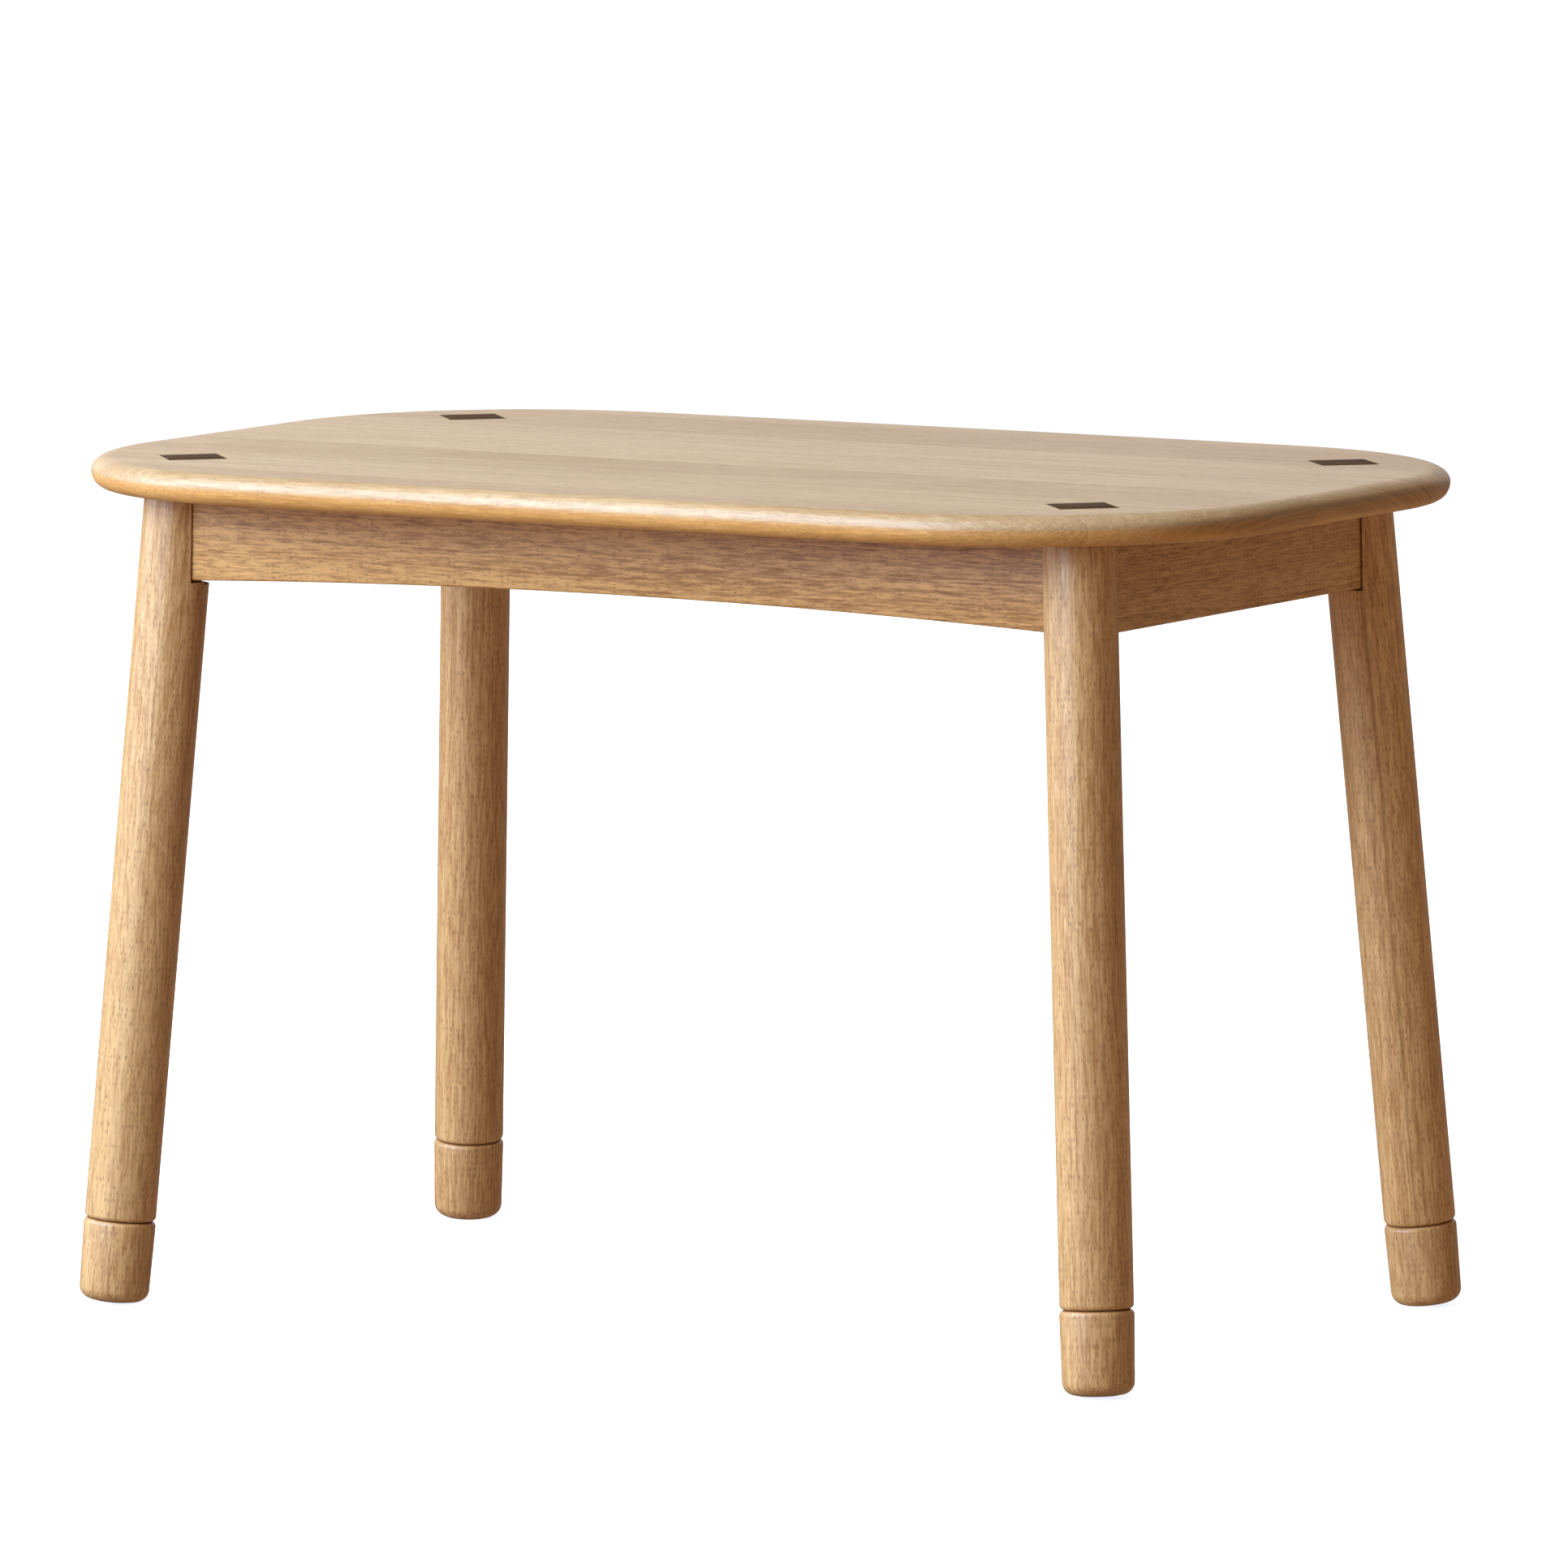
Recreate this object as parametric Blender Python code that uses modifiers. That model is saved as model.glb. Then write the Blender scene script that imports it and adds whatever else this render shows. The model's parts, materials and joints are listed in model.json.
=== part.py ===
"""Children's table in solid beech: a rounded top on four splayed round legs with screw-in feet.

Metres, +Z up.  The origin is on the floor under the middle of the table.  X runs along the long
side, Y points to the back.  Each leg carries a turned foot on a threaded stud, so that the foot
screws out of the leg to set the height.
"""

import math

import bmesh
import bpy
from mathutils import Matrix, Vector

# Gap left between faces that touch on the real table
GAP = 0.0003

# Points closer than this are merged
WELD = 0.00001

# How far a cutter stands out of the face that it starts from
CUT_START = 0.005

# Tabletop
TABLE_HEIGHT = 0.512
TOP_LENGTH = 0.800
TOP_WIDTH = 0.502
TOP_THICKNESS = 0.0185
TOP_CORNER_RADIUS = 0.168
TOP_LONG_SIDE_RADIUS = 10.7
TOP_EDGE_UPPER = (0.0124, 0.0084)
TOP_EDGE_LOWER = (0.0086, 0.0101)
TOP_EDGE_STEPS = 5
TOP_CORNER_STEPS = 10
TOP_SIDE_STEPS = 3

# Walnut inlay over each leg
INLAY_SIDE = 0.0355
INLAY_THICKNESS = 0.006
INLAY_X = 0.3100
INLAY_Y = 0.1547

# Legs: the axis meets the top's upper surface at LEG_X, LEG_Y and leans outwards going down
LEG_X = 0.3117
LEG_Y = 0.1625
LEG_SPLAY_X = 0.0654
LEG_SPLAY_Y = 0.0677
LEG_RADIUS = 0.02165
LEG_END_CHAMFER = 0.0028
LEG_SPIGOT_RADIUS = 0.011
LEG_SPIGOT_RISE = 0.008
LEG_CORE = 0.0145
LEG_CORNER_FLAT = 0.016
LEG_STEPS = 24

# Length of leg turned above the head before it is cut level, and of spigot buried in the leg
LEG_TRIM = 0.010
SPIGOT_ROOT = 0.020

# Room around a leg's head that its cutters take, and their height
HEAD_ROOM = 0.05
HEAD_RISE = 0.10

# Seam between leg and foot, as a height above the floor on the leg's axis
SEAM_HEIGHT = 0.0509

# Foot
FOOT_TOP_RADIUS = 0.0219
FOOT_BASE_RADIUS = 0.0211
FOOT_TOP_CHAMFER = 0.0030
FOOT_BASE_ROUND = 0.0075
FOOT_ROUND_STEPS = 5
PAD_RADIUS = 0.012
PAD_THICKNESS = 0.002
PAD_PROUD = 0.0005

# Stud in the foot, and the threaded insert in the leg that it runs in
STUD_RADIUS = 0.004
STUD_CHAMFER = 0.001
STUD_RISE = 0.030
STUD_DEPTH = 0.028
STUD_ROOM = 0.006
INSERT_RADIUS = 0.006
INSERT_FLANGE_RADIUS = 0.008
INSERT_FLANGE_THICKNESS = 0.0015
INSERT_LENGTH = 0.016
INSERT_RECESS = 0.0005
THREAD_STEPS = 16

# Aprons
APRON_THICKNESS = 0.020
APRON_FACE_X = 0.3253
APRON_FACE_Y = 0.176
LONG_APRON_BASE = 0.4393
LONG_APRON_ARCH = 0.0069
SIDE_APRON_BASE = 0.4375
APRON_ARCH_STEPS = 20
APRON_EDGE_ROUND = 0.0015
APRON_EDGE_SEGMENTS = 2
EASED_ANGLE = 40.0

# Corner blocks: reach along each apron, from the inner corner of the frame
BLOCK_NEAR = 0.0106
BLOCK_FAR = 0.055
BLOCK_HEIGHT = 0.040
BLOCK_END = 0.006

# Bolt that draws each leg into its corner
BOLT_RADIUS = 0.003
BOLT_HEIGHT = 0.468
BOLT_PAST_AXIS = 0.006
BOLT_TAIL = 0.0022
BOLT_HOLE_LENGTH = 0.05
WASHER_RADIUS = 0.007
WASHER_THICKNESS = 0.0012
NUT_ACROSS_FLATS = 0.010
NUT_THICKNESS = 0.005
NUT_BORE_LENGTH = 0.02

# Wood screws through the corner blocks
SCREW_RADIUS = 0.002
SCREW_HEAD_RADIUS = 0.004
SCREW_HEAD_TOP_RADIUS = 0.0028
SCREW_HEAD_THICKNESS = 0.0022
SCREW_HEAD_SIDE = 0.0011
SCREW_TIP = 0.004
SCREW_TIP_RADIUS = 0.0008
COUNTERBORE_RADIUS = 0.0046
SCREW_CUT_REACH = 0.035
SCREW_STEPS = 12
TOP_SCREW_ALONG = 0.030
TOP_SCREW_ACROSS = 0.012
TOP_SCREW_SEAT = 0.015
TOP_SCREW_LENGTH = 0.025
SIDE_SCREW_ALONG = 0.042
SIDE_SCREW_SEAT = 0.0085
SIDE_SCREW_LENGTH = 0.020
SIDE_SCREW_HEIGHT = 0.4735

# Colour, roughness and metallic value of each material
FINISHES = {
    "beech_top": ((0.69, 0.51, 0.33, 1.0), 0.42, 0.0),
    "beech_frame": ((0.62, 0.43, 0.26, 1.0), 0.48, 0.0),
    "beech_inner": ((0.66, 0.48, 0.31, 1.0), 0.60, 0.0),
    "walnut": ((0.075, 0.045, 0.030, 1.0), 0.42, 0.0),
    "steel": ((0.58, 0.58, 0.57, 1.0), 0.35, 1.0),
    "brass": ((0.66, 0.49, 0.23, 1.0), 0.34, 1.0),
    "felt": ((0.30, 0.25, 0.20, 1.0), 0.95, 0.0),
}

# Sides that each corner lies on, along X and Y
CORNERS = {
    "front_left": (-1, -1),
    "front_right": (1, -1),
    "back_left": (-1, 1),
    "back_right": (1, 1),
}

UNDERSIDE = TABLE_HEIGHT - TOP_THICKNESS
INNER_X = APRON_FACE_X - APRON_THICKNESS
INNER_Y = APRON_FACE_Y - APRON_THICKNESS
AXIS_STRETCH = math.sqrt(1.0 + LEG_SPLAY_X ** 2 + LEG_SPLAY_Y ** 2)
AXIS_LEAN = math.atan(math.hypot(LEG_SPLAY_X, LEG_SPLAY_Y))
PAD_DROP = PAD_PROUD * math.cos(AXIS_LEAN) + PAD_RADIUS * math.sin(AXIS_LEAN)
FOOT_LENGTH = (SEAM_HEIGHT - PAD_DROP) * AXIS_STRETCH


# ---------------------------------------------------------------- tools

def clear_scene():
    """Remove every object that the scene starts with."""
    for item in list(bpy.data.objects):
        bpy.data.objects.remove(item, do_unlink=True)


def new_collection(name):
    """Add a collection under the scene's own."""
    group = bpy.data.collections.new(name)
    bpy.context.scene.collection.children.link(group)
    return group


def make_material(name):
    """Make a Principled material of a named finish for one part."""
    colour, roughness, metallic = FINISHES[name]
    material = bpy.data.materials.new(name)
    material.use_nodes = True
    shader = material.node_tree.nodes["Principled BSDF"]
    shader.inputs["Base Color"].default_value = colour
    shader.inputs["Roughness"].default_value = roughness
    shader.inputs["Metallic"].default_value = metallic
    material.diffuse_color = colour
    return material


def add_object(name, mesh, finish):
    """Link a mesh as a part, or as a hidden cutter where it has no finish."""
    item = bpy.data.objects.new(name, mesh)
    if finish is None:
        CUTTERS.objects.link(item)
        item.hide_render = True
        item.display_type = "WIRE"
        return item
    PARTS.objects.link(item)
    mesh.materials.append(make_material(finish))
    return item


def turned(name, profile, finish, steps):
    """Turn a profile of (radius, height) points, outer side top to bottom, about Z."""
    mesh = bpy.data.meshes.new(name)
    points = [(radius, 0.0, height) for radius, height in profile]
    edges = [(index, index + 1) for index in range(len(points) - 1)]
    if profile[0][0] > 0.0:
        edges.append((len(points) - 1, 0))
    mesh.from_pydata(points, edges, [])
    item = add_object(name, mesh, finish)
    screw = item.modifiers.new("Turn", "SCREW")
    screw.axis = "Z"
    screw.steps = steps
    screw.render_steps = steps
    screw.use_merge_vertices = True
    screw.merge_threshold = WELD
    screw.use_smooth_shade = False
    return item


def outline_solid(name, points, thickness, finish):
    """Extrude a flat outline in XY to a solid centred on Z = 0."""
    curve = bpy.data.curves.new(name, "CURVE")
    curve.dimensions = "2D"
    curve.fill_mode = "BOTH"
    curve.extrude = thickness / 2.0
    spline = curve.splines.new("POLY")
    spline.points.add(len(points) - 1)
    for point, (x, y) in zip(spline.points, points):
        point.co = (x, y, 0.0, 1.0)
    spline.use_cyclic_u = True
    holder = bpy.data.objects.new(name + "_outline", curve)
    bpy.context.scene.collection.objects.link(holder)
    graph = bpy.context.evaluated_depsgraph_get()
    mesh = bpy.data.meshes.new_from_object(holder.evaluated_get(graph))
    bpy.data.objects.remove(holder, do_unlink=True)
    bpy.data.curves.remove(curve)
    work = bmesh.new()
    work.from_mesh(mesh)
    bmesh.ops.remove_doubles(work, verts=work.verts, dist=WELD)
    bmesh.ops.recalc_face_normals(work, faces=work.faces)
    work.to_mesh(mesh)
    work.free()
    mesh.materials.clear()
    mesh.name = name
    return add_object(name, mesh, finish)


def leaning_prism(name, points, base, height, lean):
    """Make a cutter with a level outline at its base that leans by (x, y) per metre of height."""
    item = outline_solid(name, points, height, None)
    slant = Matrix.Identity(4)
    slant[0][2] = lean[0]
    slant[1][2] = lean[1]
    item.data.transform(slant @ Matrix.Translation((0.0, 0.0, height / 2.0)))
    item.location = (0.0, 0.0, base)
    return item


def place(item, point, direction):
    """Put a part's origin at a point with its own Z along a direction."""
    item.location = point
    item.rotation_euler = Vector(direction).to_track_quat("Z", "Y").to_euler()
    return item


def rod_cutter(name, start, direction, length, radius, steps):
    """Make a round cutter from a start point along a direction."""
    profile = [(0.0, length), (radius, length), (radius, 0.0), (0.0, 0.0)]
    return place(turned(name, profile, None, steps), start, direction)


def screw_cutter(name, seat, direction):
    """Make a stepped cutter: a screw's clearance hole beyond its seat and the counterbore before it."""
    hole = SCREW_RADIUS + GAP
    profile = [(0.0, SCREW_CUT_REACH), (hole, SCREW_CUT_REACH), (hole, 0.0), (COUNTERBORE_RADIUS, 0.0),
               (COUNTERBORE_RADIUS, -SCREW_CUT_REACH), (0.0, -SCREW_CUT_REACH)]
    return place(turned(name, profile, None, SCREW_STEPS), seat, direction)


def cut(item, cutter, operation="DIFFERENCE"):
    """Cut or join a part with another mesh by an exact Boolean."""
    step = item.modifiers.new("Cut", "BOOLEAN")
    step.operation = operation
    step.solver = "EXACT"
    step.object = cutter


def ease_edges(item, width, segments):
    """Round the sharp edges of a part."""
    step = item.modifiers.new("Ease", "BEVEL")
    step.width = width
    step.segments = segments
    step.limit_method = "ANGLE"
    step.angle_limit = math.radians(EASED_ANGLE)


# ---------------------------------------------------------------- places

def leg_axis_point(corner, height):
    """Give the point of a leg's axis at a height above the floor."""
    side_x, side_y = CORNERS[corner]
    drop = TABLE_HEIGHT - height
    return Vector((side_x * (LEG_X + LEG_SPLAY_X * drop), side_y * (LEG_Y + LEG_SPLAY_Y * drop), height))


def leg_axis_up(corner):
    """Give the unit vector up a leg's axis."""
    side_x, side_y = CORNERS[corner]
    return Vector((-side_x * LEG_SPLAY_X, -side_y * LEG_SPLAY_Y, 1.0)).normalized()


def frame_corner(corner, along, across, height):
    """Give a point inside the frame: along the long apron and across it, from the inner corner."""
    side_x, side_y = CORNERS[corner]
    return Vector((side_x * (INNER_X - along), side_y * (INNER_Y - across), height))


def arc_points(centre, radius, start, end, steps):
    """Give points on an arc, without its last one."""
    points = []
    for step in range(steps):
        angle = start + (end - start) * step / steps
        points.append((centre[0] + radius * math.cos(angle), centre[1] + radius * math.sin(angle)))
    return points


def top_outline():
    """Give the tabletop's outline: straight short sides, bowed long sides, wide round corners."""
    half_length = TOP_LENGTH / 2.0
    half_width = TOP_WIDTH / 2.0
    bow_centre = half_width - TOP_LONG_SIDE_RADIUS
    corner_x = half_length - TOP_CORNER_RADIUS
    reach = TOP_LONG_SIDE_RADIUS - TOP_CORNER_RADIUS
    corner_y = bow_centre + math.sqrt(reach ** 2 - corner_x ** 2)
    meet = math.atan2(corner_y - bow_centre, corner_x)
    quarter = arc_points((corner_x, corner_y), TOP_CORNER_RADIUS, 0.0, meet, TOP_CORNER_STEPS)
    quarter += arc_points((0.0, bow_centre), TOP_LONG_SIDE_RADIUS, meet, math.pi / 2.0, TOP_SIDE_STEPS)
    quarter.append((0.0, half_width))
    left = [(-x, y) for x, y in reversed(quarter[:-1])]
    upper = quarter + left
    return upper + [(-x, -y) for x, y in upper]


def outward(points, index):
    """Give the outward direction of an anticlockwise outline at one of its points."""
    before = Vector(points[index - 1])
    after = Vector(points[(index + 1) % len(points)])
    tangent = (after - before).normalized()
    return Vector((tangent.y, -tangent.x))


def edge_profile():
    """Give the tabletop edge as (inset, height) steps, from the underside to the upper surface."""
    steps = []
    inset, rise = TOP_EDGE_LOWER
    for step in range(TOP_EDGE_STEPS):
        angle = math.pi / 2.0 * step / TOP_EDGE_STEPS
        steps.append((inset * (1.0 - math.sin(angle)), rise * (1.0 - math.cos(angle))))
    inset, rise = TOP_EDGE_UPPER
    for step in range(TOP_EDGE_STEPS + 1):
        angle = math.pi / 2.0 * step / TOP_EDGE_STEPS
        steps.append((inset * (1.0 - math.cos(angle)), TOP_THICKNESS - rise * (1.0 - math.sin(angle))))
    return steps


# ---------------------------------------------------------------- tabletop and inlays

def inlay_outline(corner, side):
    """Give the square of an inlay, turned to stand on its corner, about the inlay's place."""
    side_x, side_y = CORNERS[corner]
    reach = side / math.sqrt(2.0)
    middle = (side_x * INLAY_X, side_y * INLAY_Y)
    turns = ((reach, 0.0), (0.0, reach), (-reach, 0.0), (0.0, -reach))
    return [(middle[0] + x, middle[1] + y) for x, y in turns]


def make_tabletop():
    """Raise the top's outline ring by ring to its rounded edge, then cut the sockets."""
    outline = top_outline()
    directions = [outward(outline, index) for index in range(len(outline))]
    profile = edge_profile()
    work = bmesh.new()
    place_in_ring = work.verts.layers.int.new("place_in_ring")
    inset, height = profile[0]
    ring = [work.verts.new((x, y, height)) for x, y in outline]
    for index, vert in enumerate(ring):
        vert[place_in_ring] = index
        vert.co.xy -= directions[index] * inset
    face = work.faces.new(ring)
    base = face
    for next_inset, next_height in profile[1:]:
        raised = bmesh.ops.extrude_face_region(work, geom=[face])
        if face is not base:
            bmesh.ops.delete(work, geom=[face], context="FACES_ONLY")
        face = next(part for part in raised["geom"] if isinstance(part, bmesh.types.BMFace))
        for vert in face.verts:
            vert.co.xy -= directions[vert[place_in_ring]] * (next_inset - inset)
            vert.co.z = next_height
        inset = next_inset
    bmesh.ops.recalc_face_normals(work, faces=work.faces)
    mesh = bpy.data.meshes.new("tabletop")
    work.to_mesh(mesh)
    work.free()
    top = add_object("tabletop", mesh, "beech_top")
    top.location = (0.0, 0.0, UNDERSIDE)
    for corner in CORNERS:
        depth = INLAY_THICKNESS + GAP
        outline = inlay_outline(corner, INLAY_SIDE + 2 * GAP)
        pocket = outline_solid("cut_inlay_" + corner, outline, 2 * depth, None)
        pocket.location = (0.0, 0.0, TABLE_HEIGHT)
        cut(top, pocket)
        start = leg_axis_point(corner, UNDERSIDE - CUT_START)
        length = (LEG_SPIGOT_RISE + 2 * GAP + CUT_START) * AXIS_STRETCH
        socket = rod_cutter("cut_socket_" + corner, start, leg_axis_up(corner), length,
                            LEG_SPIGOT_RADIUS + GAP, LEG_STEPS)
        cut(top, socket)
        start = frame_corner(corner, TOP_SCREW_ALONG, TOP_SCREW_ACROSS, UNDERSIDE - CUT_START)
        length = CUT_START + TOP_SCREW_LENGTH - TOP_SCREW_SEAT + GAP
        pilot = rod_cutter("cut_top_pilot_" + corner, start, (0, 0, 1), length,
                           SCREW_RADIUS + GAP, SCREW_STEPS)
        cut(top, pilot)


def make_inlay(corner):
    """Make the walnut square set flush in the top over a leg."""
    item = outline_solid("inlay_" + corner, inlay_outline(corner, INLAY_SIDE), INLAY_THICKNESS, "walnut")
    item.location = (0.0, 0.0, TABLE_HEIGHT - INLAY_THICKNESS / 2.0)


# ---------------------------------------------------------------- aprons

def long_apron_outline():
    """Give a long apron's face: ends that lean with the legs and a lower edge that arches up."""
    top = UNDERSIDE - GAP
    half_top = LEG_X + LEG_SPLAY_X * (TABLE_HEIGHT - top) - LEG_CORE
    half_base = LEG_X + LEG_SPLAY_X * (TABLE_HEIGHT - LONG_APRON_BASE) - LEG_CORE
    radius = (half_base ** 2 + LONG_APRON_ARCH ** 2) / (2.0 * LONG_APRON_ARCH)
    crown = LONG_APRON_BASE + LONG_APRON_ARCH - radius
    spread = math.asin(half_base / radius)
    arch = arc_points((0.0, crown), radius, math.pi / 2 + spread, math.pi / 2 - spread, APRON_ARCH_STEPS)
    return arch + [(half_base, LONG_APRON_BASE), (half_top, top), (-half_top, top)]


def side_apron_outline():
    """Give a side apron's face: straight lower edge and ends that lean with the legs."""
    top = UNDERSIDE - GAP
    half_top = LEG_Y + LEG_SPLAY_Y * (TABLE_HEIGHT - top) - LEG_CORE
    half_base = LEG_Y + LEG_SPLAY_Y * (TABLE_HEIGHT - SIDE_APRON_BASE) - LEG_CORE
    return [(-half_base, SIDE_APRON_BASE), (half_base, SIDE_APRON_BASE), (half_top, top), (-half_top, top)]


def side_screw(corner, apron):
    """Give where a block's screw to the long or the side apron starts, and its direction."""
    side_x, side_y = CORNERS[corner]
    if apron == "long":
        seat = frame_corner(corner, SIDE_SCREW_ALONG, SIDE_SCREW_SEAT, SIDE_SCREW_HEIGHT)
        return seat, Vector((0, side_y, 0))
    seat = frame_corner(corner, SIDE_SCREW_SEAT, SIDE_SCREW_ALONG, SIDE_SCREW_HEIGHT)
    return seat, Vector((side_x, 0, 0))


def make_apron(name, outline, middle, turn, corners, apron):
    """Stand an apron up from its outline, ease its edges and drill it for the block screws."""
    item = outline_solid(name, outline, APRON_THICKNESS, "beech_frame")
    upright = Matrix.Rotation(turn, 4, "Z") @ Matrix.Rotation(math.pi / 2.0, 4, "X")
    item.data.transform(upright)
    item.location = middle
    ease_edges(item, APRON_EDGE_ROUND, APRON_EDGE_SEGMENTS)
    for corner in corners:
        seat, direction = side_screw(corner, apron)
        length = SIDE_SCREW_LENGTH + GAP
        pilot = rod_cutter("cut_pilot_" + apron + "_" + corner, seat, direction, length,
                           SCREW_RADIUS + GAP, SCREW_STEPS)
        cut(item, pilot)


def make_aprons():
    """Make the four aprons of the frame."""
    mid_y = APRON_FACE_Y - APRON_THICKNESS / 2.0
    mid_x = APRON_FACE_X - APRON_THICKNESS / 2.0
    outline = long_apron_outline()
    make_apron("apron_front", outline, (0.0, -mid_y, 0.0), 0.0, ("front_left", "front_right"), "long")
    make_apron("apron_back", outline, (0.0, mid_y, 0.0), 0.0, ("back_left", "back_right"), "long")
    outline = side_apron_outline()
    quarter = math.pi / 2.0
    make_apron("apron_left", outline, (-mid_x, 0.0, 0.0), quarter, ("front_left", "back_left"), "side")
    make_apron("apron_right", outline, (mid_x, 0.0, 0.0), quarter, ("front_right", "back_right"), "side")


# ---------------------------------------------------------------- legs

def signed(corner, points):
    """Mirror the points of a plan drawn for the back right corner to another corner."""
    side_x, side_y = CORNERS[corner]
    return [(side_x * x, side_y * y) for x, y in points]


def housing_cutters(corner):
    """Make the cutters that open the leg's head for both aprons and flatten its inner corner."""
    side_x, side_y = CORNERS[corner]
    room = HEAD_ROOM
    rise = HEAD_RISE
    cutters = []
    base = LONG_APRON_BASE - GAP
    axis_x = LEG_X + LEG_SPLAY_X * (TABLE_HEIGHT - base) - LEG_CORE + GAP
    face = APRON_FACE_Y + GAP
    deep = face - 2 * room
    plan = [(axis_x - room, deep), (axis_x, deep), (axis_x, face), (axis_x - room, face)]
    lean = (-side_x * LEG_SPLAY_X, 0.0)
    cutters.append(leaning_prism("cut_housing_long_" + corner, signed(corner, plan), base, rise, lean))
    base = SIDE_APRON_BASE - GAP
    axis_y = LEG_Y + LEG_SPLAY_Y * (TABLE_HEIGHT - base) - LEG_CORE + GAP
    face = APRON_FACE_X + GAP
    deep = face - 2 * room
    plan = [(deep, axis_y - room), (face, axis_y - room), (face, axis_y), (deep, axis_y)]
    lean = (0.0, -side_y * LEG_SPLAY_Y)
    cutters.append(leaning_prism("cut_housing_side_" + corner, signed(corner, plan), base, rise, lean))
    axis = (LEG_X + LEG_SPLAY_X * (TABLE_HEIGHT - base), LEG_Y + LEG_SPLAY_Y * (TABLE_HEIGHT - base))
    reach = LEG_CORNER_FLAT * math.sqrt(2.0)
    plan = [(axis[0] - reach - room, axis[1] + room), (axis[0] - reach - room, axis[1] - reach - room),
            (axis[0] + room, axis[1] - reach - room)]
    lean = (-side_x * LEG_SPLAY_X, -side_y * LEG_SPLAY_Y)
    cutters.append(leaning_prism("cut_corner_flat_" + corner, signed(corner, plan), base, rise, lean))
    return cutters


def bolt_direction(corner):
    """Give the level direction of the leg bolt, outwards along the corner's diagonal."""
    side_x, side_y = CORNERS[corner]
    return Vector((side_x, side_y, 0.0)).normalized()


def bolt_point(corner, inside):
    """Give a point on the leg bolt's axis, at a distance inside the frame's inner corner."""
    return frame_corner(corner, 0.0, 0.0, BOLT_HEIGHT) - bolt_direction(corner) * inside


def bolt_end_inside():
    """Give how far inside the inner corner the bolt ends, as a negative distance."""
    to_axis = LEG_X + LEG_SPLAY_X * (TABLE_HEIGHT - BOLT_HEIGHT) - INNER_X
    return -(to_axis * math.sqrt(2.0) + BOLT_PAST_AXIS)


def make_leg(corner):
    """Turn a leg with its insert bore, cut the head level, add the spigot and open the housings."""
    up = leg_axis_up(corner)
    seam = leg_axis_point(corner, SEAM_HEIGHT)
    length = (UNDERSIDE - SEAM_HEIGHT) * AXIS_STRETCH + LEG_TRIM
    low = GAP / 2.0
    bore = INSERT_RADIUS + GAP
    rim = INSERT_FLANGE_RADIUS + GAP
    rim_top = low + INSERT_RECESS + INSERT_FLANGE_THICKNESS + GAP
    bore_top = low + INSERT_RECESS + INSERT_LENGTH + GAP
    well = STUD_RADIUS + 2 * GAP
    well_top = STUD_RISE + STUD_ROOM
    profile = [(0.0, length), (LEG_RADIUS, length), (LEG_RADIUS, low + LEG_END_CHAMFER),
               (LEG_RADIUS - LEG_END_CHAMFER, low), (rim, low), (rim, rim_top), (bore, rim_top),
               (bore, bore_top), (well, bore_top), (well, well_top), (0.0, well_top)]
    leg = place(turned("leg_" + corner, profile, "beech_frame", LEG_STEPS), seam, up)
    room = HEAD_ROOM
    plan = [(-room, -room), (room, -room), (room, room), (-room, room)]
    level = outline_solid("cut_head_" + corner, plan, HEAD_RISE, None)
    head = leg_axis_point(corner, UNDERSIDE)
    level.location = (head.x, head.y, UNDERSIDE - GAP + HEAD_RISE / 2.0)
    cut(leg, level)
    spigot_base = leg_axis_point(corner, UNDERSIDE - SPIGOT_ROOT)
    rise = (SPIGOT_ROOT + LEG_SPIGOT_RISE) * AXIS_STRETCH
    spigot = rod_cutter("join_spigot_" + corner, spigot_base, up, rise, LEG_SPIGOT_RADIUS, LEG_STEPS)
    cut(leg, spigot, "UNION")
    for cutter in housing_cutters(corner):
        cut(leg, cutter)
    end = bolt_point(corner, bolt_end_inside() - GAP)
    hole = rod_cutter("cut_leg_bolt_" + corner, end, -bolt_direction(corner), BOLT_HOLE_LENGTH,
                      BOLT_RADIUS + GAP, SCREW_STEPS)
    cut(leg, hole)


# ---------------------------------------------------------------- feet

def foot_profile():
    """Give the foot's outer side, its pad recess and the stud's hole, below the seam at height 0."""
    top = -GAP / 2.0
    base = -FOOT_LENGTH
    recess = PAD_THICKNESS - PAD_PROUD + GAP
    points = [(STUD_RADIUS + GAP, top), (FOOT_TOP_RADIUS - FOOT_TOP_CHAMFER, top),
              (FOOT_TOP_RADIUS, top - FOOT_TOP_CHAMFER)]
    round_centre = (FOOT_BASE_RADIUS - FOOT_BASE_ROUND, base + FOOT_BASE_ROUND)
    for step in range(FOOT_ROUND_STEPS + 1):
        angle = math.pi / 2.0 * step / FOOT_ROUND_STEPS
        points.append((round_centre[0] + FOOT_BASE_ROUND * math.cos(angle),
                       round_centre[1] - FOOT_BASE_ROUND * math.sin(angle)))
    points += [(PAD_RADIUS + GAP, base), (PAD_RADIUS + GAP, base + recess), (0.0, base + recess)]
    points = [(0.0, top - STUD_DEPTH - GAP), (STUD_RADIUS + GAP, top - STUD_DEPTH - GAP)] + points
    return points


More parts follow.
